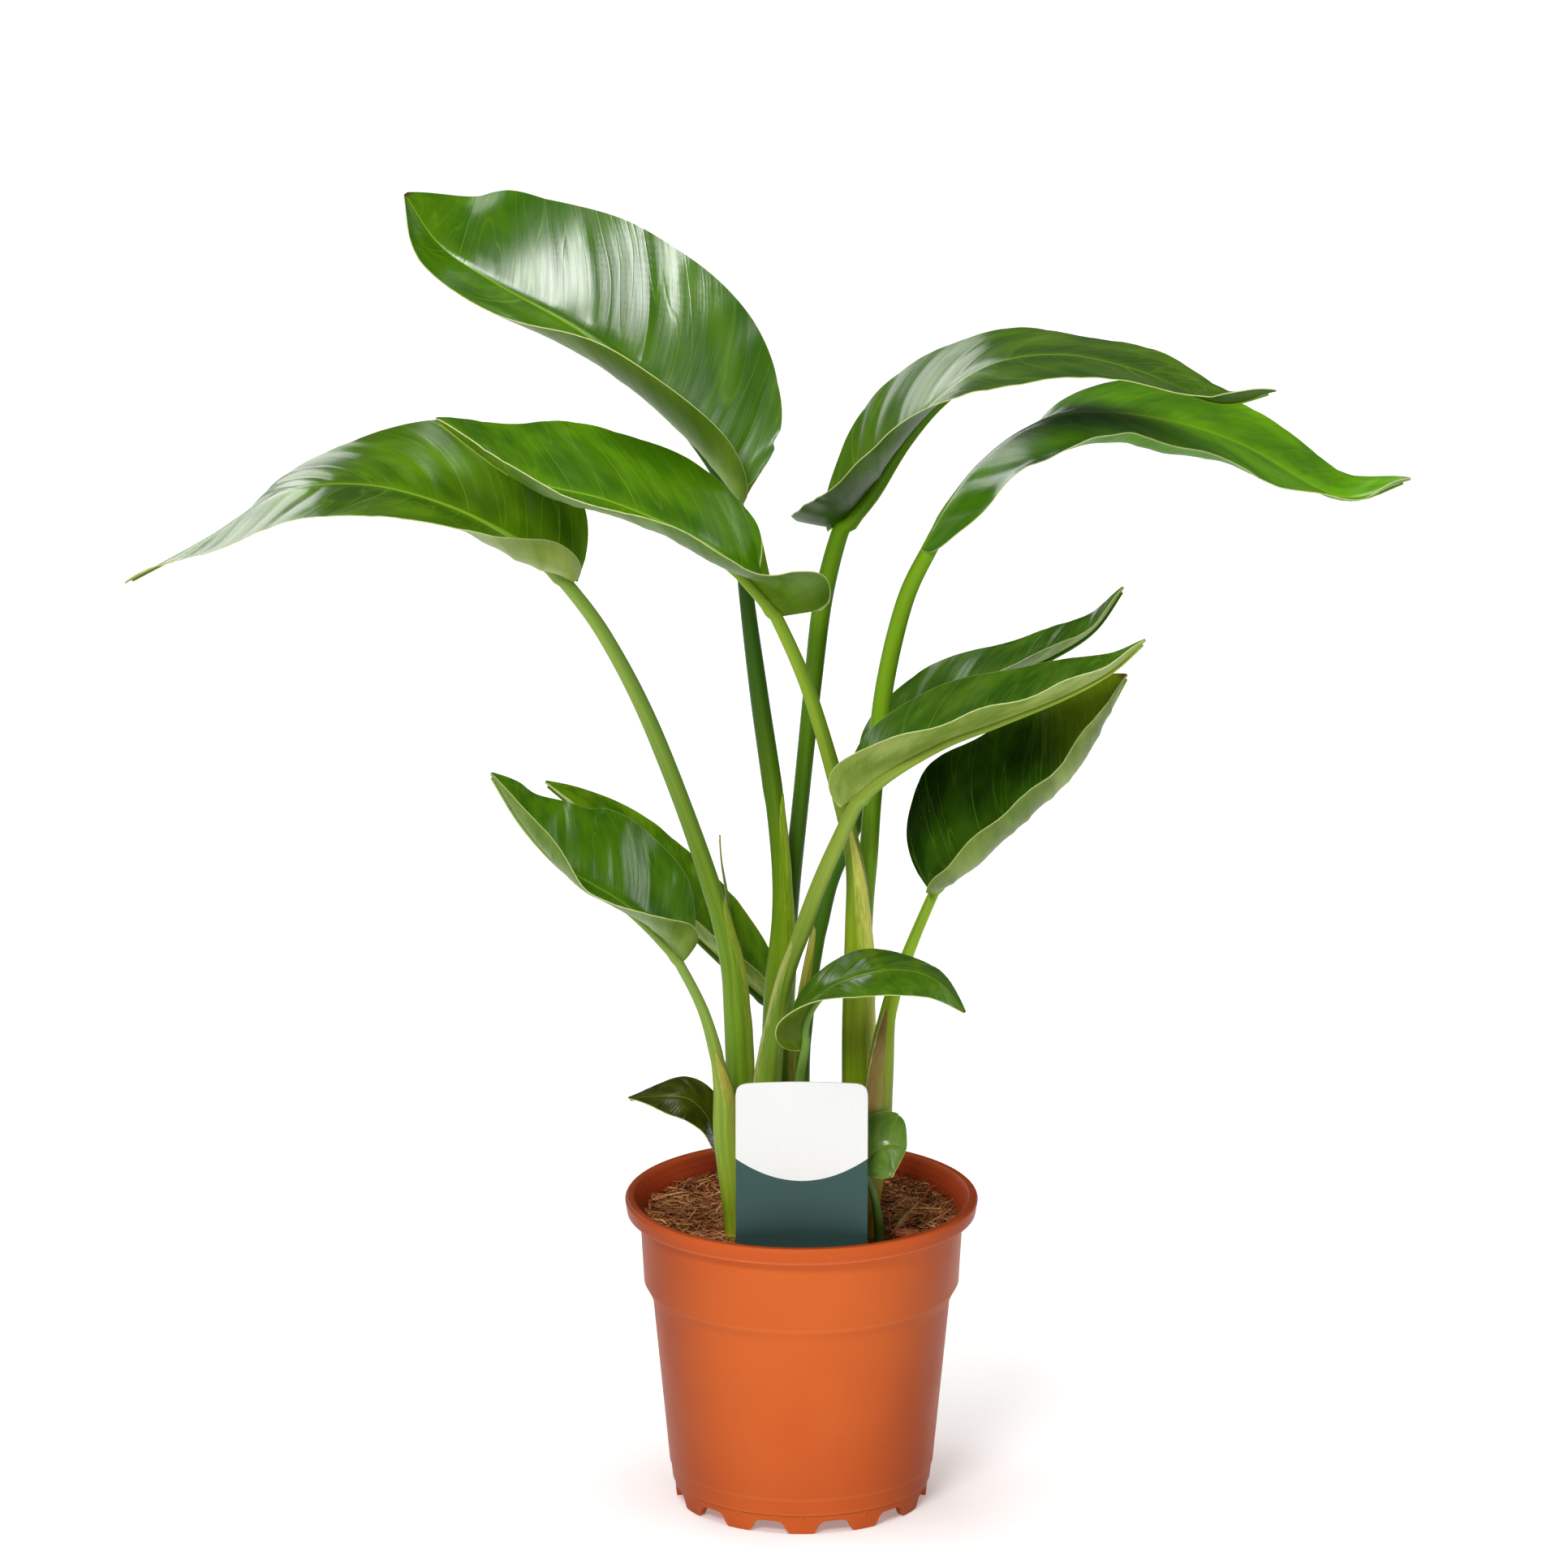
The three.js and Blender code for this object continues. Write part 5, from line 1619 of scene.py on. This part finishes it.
@dataclass
class Compost:
    """The filling: a mounded body with crumbs and curled fibres on it.

    wall: radius and height of each ring of its side, from the pot's floor to the top
    middle: radius of the ring that closes the floor and the top, mm
    rings, around: how many faces its top has from the rim to the middle, and round it
    crumbs, fibres, seed: how many there are, and where their random draws start
    rim: how far out the litter reaches, mm
    """

    wall: Points = (
        (60.0, 9.9), (61.7, 18.3), (69.7, 101.3), (73.9, 109.9), (75.6, SOIL_TOP),
    )
    middle: float = 0.01
    rings: int = 44
    around: int = 120
    crumbs: int = 1300
    fibres: int = 5800
    rim: float = 76.0
    seed: int = 7

    @staticmethod
    def height(x: float, y: float) -> float:
        """The mounds' height at a place, mm, with a dip where the chip and the husk lie."""
        mounds = 1.1 * math.sin(x / 9 + 1) * math.cos(y / 8) + 0.8 * math.sin(x / 4.5 + y / 6)
        dip = 2.6 * math.exp(-(((x - 50) / 10) ** 2 + ((y + 19) / 12) ** 2))
        return SOIL_TOP + mounds - 0.012 * x + 0.012 * y - dip

    def body(self) -> bpy.types.Object:
        """Rolls a grid into the closed body, with fine lumps on its top."""
        edge, low = self.wall[-1][0], self.wall[0][1]
        inner = [(edge * (1 - k / self.rings), SOIL_TOP) for k in range(1, self.rings)]
        profile = np.array([(self.middle, low), *self.wall, *inner, (self.middle, SOIL_TOP)])
        piece, u, v = shaped_grid("compost", len(profile) - 1, self.around)
        i = np.rint(u * (len(profile) - 1)).astype(int)
        radius, level = profile[i, 0], profile[i, 1].copy()
        x, y = radius * np.cos(2 * np.pi * v), radius * np.sin(2 * np.pi * v)
        for n in np.flatnonzero(level > SOIL_TOP - 1):
            spot = Vector((x[n] / 4, y[n] / 4, 0.0))
            rough = 0.9 * noise.noise(spot) + 0.5 * noise.noise(spot * 2.7)
            level[n] = self.height(x[n], y[n]) + rough - 0.8
        move_points(piece, to_row(np.column_stack([x, y, level])))
        mark(piece, "crumb_tone")
        in_edit_mode(piece, weld, face_out)
        return piece

    def shape_of(self, kind: Litter, draw: random.Random) -> tuple[tuple, float, float, float]:
        """One piece of litter: its size along x, y and z, its tilt, its lift and its tone."""
        if kind is Litter.CRUMB:
            size = draw.uniform(0.6, 1.8) * (2.2 if draw.random() < 0.06 else 1)
            sizes = (size, size * draw.uniform(0.4, 0.9), size * draw.uniform(0.25, 0.6))
            return sizes, draw.uniform(-0.5, 0.5), 0.1, draw.random()
        thick = draw.uniform(0.08, 0.2)
        sizes = (draw.uniform(5, 24), thick * draw.uniform(1.5, 7), thick)
        return sizes, draw.gauss(0, 0.22), draw.uniform(-0.3, 2.4), draw.uniform(0.0, 1.05)

    def litter(self, kind: Litter, template: bpy.types.Object, count: int) -> bpy.types.Object:
        """Scatters turned and scaled copies of a template over the top.

        Args:
            kind: what it is.
            template: the copied shape, about 1 mm in size.
            count: how many.

        Returns:
            One piece with all of them.
        """
        draw = random.Random(self.seed + count)
        base = points_of(template)
        faces = [tuple(face.vertices) for face in template.data.polygons]
        points, every, tones = [], [], []
        for n in range(count):
            far = self.rim * math.sqrt(draw.random())
            place = draw.uniform(0, 2 * math.pi)
            x, y = far * math.cos(place), far * math.sin(place)
            sizes, tilt, rise, tone = self.shape_of(kind, draw)
            spin, roll = draw.uniform(0, 2 * math.pi), draw.uniform(-1.2, 1.2)
            made = turned(turned(base * sizes, (1, 2), roll), (2, 0), tilt)
            made = turned(made, (0, 1), spin) + (x, y, self.height(x, y) + rise)
            reach = np.hypot(made[:, 0], made[:, 1])
            made[:, :2] *= np.minimum(1, self.rim / np.maximum(reach, 1e-6))[:, None]
            points.append(made)
            every.extend(tuple(n * len(base) + k for k in face) for face in faces)
            tones.append(np.full(len(base), tone))
        mesh = bpy.data.meshes.new(kind.value)
        mesh.from_pydata(to_row(np.vstack(points)).tolist(), [], every)
        piece = bpy.data.objects.new(kind.value, mesh)
        bpy.context.collection.objects.link(piece)
        mark(piece, "crumb_tone", np.concatenate(tones))
        bpy.data.objects.remove(template, do_unlink=True)
        return piece

    def crumb(self) -> bpy.types.Object:
        """One angular crumb, 1 mm in radius before it is scaled."""
        return fresh("crumb_template", bpy.ops.mesh.primitive_ico_sphere_add, subdivisions=1, radius=1)

    def fibre(self) -> bpy.types.Object:
        """One bowed fibre, 1 mm long before it is scaled."""
        piece, u, v = shaped_grid("fibre_template", 4, 3)
        bow = 1 - (2 * u - 1) ** 2
        slim = 0.45 + 0.55 * bow
        turn = -2 * np.pi * v
        y, z = bow + 0.5 * slim * np.cos(turn), slim * np.sin(turn)
        move_points(piece, np.column_stack([u - 0.5, y, z]))
        in_edit_mode(piece, weld, close_ends, face_out)
        return piece

    def build(self) -> bpy.types.Object:
        """Builds and dresses the compost."""
        body = self.body()
        crumbs = self.litter(Litter.CRUMB, self.crumb(), self.crumbs)
        fibres = self.litter(Litter.FIBRE, self.fibre(), self.fibres)
        piece = fuse([body, crumbs, fibres])
        smooth(piece, 35)
        dress(piece, CompostSkin().make("compost"))
        return hand_over(piece, "soil")


@dataclass(frozen=True)
class CardPrint(Finish):
    """White card with a plain dark green foot under a hollow arc.

    arc_low, arc_rise: height of the arc's middle, and how much higher it ends, metres
    """

    white: Colour = paint(236, 236, 234)
    green: Colour = paint(50, 80, 76)
    arc_low: float = 0.1792
    arc_rise: float = 0.0124

    def fill(self, g: Graph) -> None:
        """White above the arc and green below it, on faintly fibrous card."""
        x, _, rise = g.split(g.place())
        share = g.math("DIVIDE", g.math("SUBTRACT", x, float(POT_AXIS[0])), CARD_HALF * MM)
        arc = g.math("MULTIPLY_ADD", g.math("MULTIPLY", share, share), self.arc_rise, self.arc_low)
        fibre = g.clouds(1500.0)
        colour = g.mix(g.math("LESS_THAN", rise, arc), self.white, self.green)
        colour = g.over(colour, g.tint(colour, 0.94, 0.94, 0.94), fibre, 0.4, 0.7, 0.0, 0.6)
        g.surface(colour, 0.5, g.bump(fibre, 0.08, 0.0001), Specular_IOR_Level=0.3)


@dataclass
class Card:
    """The bowed plant card, which narrows to a stake in the compost.

    rows: height and half width of each row, mm
    depth, bow: how far forward its edges stand, and how far its middle stands back from them, mm
    """

    rows: Points = (
        (228.5, 26.4), (227.9, 28.9), (226.4, 30.6), (223.4, CARD_HALF), (190, CARD_HALF),
        (143, CARD_HALF), (138, 11), (132, 5), (110, 1.5),
    )
    depth: float = -66.0
    bow: float = 4.0
    thickness: float = 0.8

    def build(self) -> bpy.types.Object:
        """Bows a grid into the card and gives it its thickness."""
        piece, u, v = shaped_grid("plant_card", 60, 24)
        heights, halves = np.array(self.rows)[::-1].T
        level = np.interp(u, np.linspace(0, 1, len(heights)), heights)
        x = np.interp(level, heights, halves) * (1 - 2 * v)
        y = self.depth + self.bow * (1 - (x / CARD_HALF) ** 2)
        move_points(piece, to_row(np.column_stack([x, y, level])))
        thicken(piece, self.thickness)
        in_edit_mode(piece, face_out)
        smooth(piece, 40)
        dress(piece, CardPrint().make("card_print"))
        return hand_over(piece, "plant_tag")


# Spear, bark flake and dry husk


@dataclass
class Spear:
    """The rolled leaf that has yet to open: a tapering roll with its free edge winding up it, and a dry tip.
    """

    path: Points = (
        (-28, 2, STEM_END), (-29, 2, 180), (-31, 1, 250), (-35, -1, 298), (-38, -3, 320),
        (-39, -3, 333),
    )
    radii: Numbers = (3, 3, 3, 2.6, 1.4, 0.4)
    steps: int = 60
    thinnest: float = 0.25
    skin: StemSkin = StemSkin(paint(84, 120, 34), paint(92, 132, 36), paint(128, 156, 70), 0.2, 0.325)
    wrap: Sheath = Sheath(
        331, (20, -20, -60, -95, -130), -170, paint(148, 178, 78), paint(176, 170, 96), reach=2.5
    )

    def build(self) -> bpy.types.Object:
        """Builds and dresses the spear."""
        centres = even_path(self.path, self.steps)
        radii = spread(self.radii, np.linspace(0, 1, self.steps + 1))
        bare = np.maximum(self.wrap.bare(centres, radii), self.thinnest)
        core = Tube("spear", centres, bare).build()
        dress(core, self.skin.make("spear"))
        piece = fuse([core, self.wrap.build("spear_wrap", centres, radii, self.skin)])
        smooth(piece, 50)
        return hand_over(piece, "leaf_spear")


@dataclass
class BarkFlake:
    """A layered, ragged flake of bark that lies on the compost.

    sizes, middle: its length, width and height, and where its middle is, mm
    tilt, turn: how far it leans and is turned about the vertical, radians
    """

    sizes: Numbers = (14.0, 8.0, 2.6)
    middle: Numbers = (50.0, -22.0, 139.6)
    tilt: float = 0.14
    turn: float = 0.5
    cuts: int = 13

    def build(self) -> bpy.types.Object:
        """Rounds and roughens a block into the flake."""
        piece = fresh("bark_flake", bpy.ops.mesh.primitive_cube_add, size=1)
        in_edit_mode(piece, lambda: bpy.ops.mesh.subdivide(number_cuts=self.cuts))
        spots = points_of(piece)
        flat = spots[:, :2]
        square = np.abs(flat).max(axis=1) / np.maximum(np.linalg.norm(flat, axis=1), 1e-6)
        around = np.arctan2(flat[:, 1], flat[:, 0])
        ragged = 1 + 0.07 * np.sin(5 * around + 1) + 0.05 * np.sin(11 * around)
        flat = flat * (0.35 + 0.65 * square * ragged)[:, None]
        far = 2 * np.linalg.norm(flat, axis=1)
        layers = 1 - 0.35 * far**2 + 0.12 * np.round(2 * np.sin(16 * flat[:, 1] + 1)) / 2
        made = np.column_stack([flat, spots[:, 2] * layers]) * self.sizes
        made[:, 2] += 0.3 * np.array([noise.noise(Vector(spot) * 0.9) for spot in made])
        made = turned(turned(made, (2, 0), self.tilt), (0, 1), self.turn)
        move_points(piece, to_row(made + self.middle))
        in_edit_mode(piece, face_out)
        smooth(piece, 35)
        dress(piece, Husk(paint(216, 122, 76), paint(126, 62, 36)).make("bark"))
        return hand_over(piece, "bark_chip")


@dataclass
class DryHusk:
    """A curled shred of dry sheath that stands in the compost.

    open_turn, twist: how far round it reaches, and how far it winds up its length, radians
    """

    path: Points = ((44, -6, 130), (46, -8, 139), (50, -10, 146), (56, -11, 151))
    radii: Numbers = (3.0, 3.2, 2.2, 0.5)
    steps: int = 40
    open_turn: float = 4.3
    twist: float = 0.9
    thickness: float = 0.5

    def build(self) -> bpy.types.Object:
        """Rolls a grid into an open gutter that narrows to a torn tip."""
        piece, u, v = shaped_grid("dry_husk", self.steps, 18)
        centres = even_path(self.path, self.steps)
        tube = Tube("husk", centres, spread(self.radii, np.linspace(0, 1, self.steps + 1)))
        i = np.rint(u * self.steps).astype(int)
        turn = self.open_turn * (v - 0.5) + self.twist * u
        radius = (tube.radii[i] - 0.3) * (1 + 0.08 * np.sin(9 * u + 4 * v))
        move_points(piece, to_row(centres[i] + radius[:, None] * tube.spokes(i, turn)))
        thicken(piece, self.thickness)
        in_edit_mode(piece, face_out)
        smooth(piece, 50)
        dress(piece, Husk(paint(252, 236, 176), paint(226, 184, 108)).make("dry_husk"))
        return hand_over(piece, "dry_sheath")


# Studio


@dataclass(frozen=True)
class FloorWhite(Finish):
    """The floor's matt white, which glows faintly."""

    glow: float = 0.28

    def fill(self, g: Graph) -> None:
        """Two near whites in wide clouds."""
        colour = g.mix(g.clouds(3.0), (0.86, 0.86, 0.86, 1), (0.88, 0.88, 0.88, 1))
        light = {"Emission_Color": colour, "Emission_Strength": self.glow}
        g.surface(colour, 0.9, Specular_IOR_Level=0.1, **light)


@dataclass(frozen=True)
class Softbox:
    """A soft light: where it stands round the plant, its sides in metres and its power.

    azimuth, elevation: seen from the plant, 0 in front and positive to the right, degrees
    away, middle: how far it stands from the plant's middle, and how high that is, metres
    """

    name: str
    azimuth: float
    elevation: float
    sides: Numbers
    power: float
    away: float = 2.7
    middle: float = 0.35

    def stand(self) -> None:
        """Sets the light up, facing the plant's middle."""
        data = bpy.data.lights.new(self.name, "AREA")
        data.shape = "RECTANGLE"
        data.size, data.size_y = self.sides
        data.energy = self.power
        turn, rise = math.radians(self.azimuth), math.radians(self.elevation)
        level = math.cos(rise)
        toward = Vector((math.sin(turn) * level, -math.cos(turn) * level, math.sin(rise)))
        lamp = bpy.data.objects.new(self.name, data)
        lamp.location = Vector((0, 0, self.middle)) + self.away * toward
        lamp.rotation_euler = (-toward).to_track_quat("-Z", "Y").to_euler()
        bpy.context.collection.objects.link(lamp)


@dataclass
class Studio:
    """The pale floor, the soft lights and the camera at the photograph's angle.

    camera_place, pitch_down: in mm about the pot's axis, and in degrees
    focal_px, image_px: the focal length and the picture's width, in the photograph's pixels
    sun_tilt, sun_soft: how far the wide light from above leans, and how wide it is, degrees
    surround: how bright the white surround is
    floor_size, floor_deep: the floor's radius and thickness, metres
    """

    camera_place: Numbers = (-8.4, -5000.0, 1810.1)
    pitch_down: float = 16.2
    focal_px: float = 13474.0
    image_px: float = 1932.0
    sensor_mm: float = 36.0
    lights: tuple[Softbox, ...] = (
        Softbox("key", -17, 35, (0.84, 0.56), 37.0),
        Softbox("right", 73, 20, (0.4, 0.5), 4.0),
        Softbox("left", -102, 42, (0.4, 0.4), 2.5),
        Softbox("back", 120, 34, (0.5, 0.5), 1.8),
        Softbox("rim", -155, 18, (1.2, 1.2), 11.0),
    )
    sun_tilt: Numbers = (3.0, -3.0)
    sun_strength: float = 2.6
    sun_soft: float = 46.0
    surround: float = 0.07
    floor_size: float = 9.0
    floor_deep: float = 0.02

    def floor(self) -> None:
        """A wide, faintly glowing white plate with its top at the feet."""
        piece = fresh(
            "floor", bpy.ops.mesh.primitive_circle_add, vertices=96, radius=self.floor_size,
            fill_type="NGON",
        )
        drop = {"value": (0, 0, -self.floor_deep)}
        in_edit_mode(
            piece, lambda: bpy.ops.mesh.extrude_region_move(TRANSFORM_OT_translate=drop), face_out
        )
        dress(piece, FloorWhite().make("studio_floor"))

    def light(self) -> None:
        """The soft lights, a wide ceiling and an even white surround."""
        for box in self.lights:
            box.stand()
        ceiling = bpy.data.lights.new("ceiling", "SUN")
        ceiling.energy = self.sun_strength
        ceiling.angle = math.radians(self.sun_soft)
        above = bpy.data.objects.new("ceiling", ceiling)
        above.rotation_euler = (*(math.radians(tilt) for tilt in self.sun_tilt), 0)
        bpy.context.collection.objects.link(above)
        world = bpy.data.worlds.new("studio")
        world.use_nodes = True
        backdrop = world.node_tree.nodes["Background"].inputs
        backdrop["Color"].default_value = (1, 1, 1, 1)
        backdrop["Strength"].default_value = self.surround
        bpy.context.scene.world = world

    def camera(self) -> None:
        """The camera, as it was fitted to the photograph."""
        data = bpy.data.cameras.new("camera")
        data.sensor_width = self.sensor_mm
        data.lens = self.focal_px / self.image_px * self.sensor_mm
        eye = bpy.data.objects.new("camera", data)
        eye.location = to_row(np.array(self.camera_place))
        eye.rotation_euler = (math.radians(90 - self.pitch_down), 0, 0)
        bpy.context.collection.objects.link(eye)
        bpy.context.scene.camera = eye

    def build(self) -> None:
        """Sets up the studio."""
        self.camera()
        self.floor()
        self.light()
        bpy.context.scene.view_settings.view_transform = "Standard"


def main() -> None:
    """Builds the plant, its pot and the studio."""
    logging.basicConfig(level=logging.INFO, format="%(message)s")
    Studio().build()
    margin = Margin().make("leaf_margin")
    pieces = [leaf.build(margin) for leaf in LEAVES]
    pieces += [part.build() for part in (Pot(), Compost(), Card(), Spear(), BarkFlake(), DryHusk())]
    for piece in pieces:
        LOG.info("%s: %d faces", piece.name, len(piece.data.polygons))


if __name__ == "__main__":
    main()
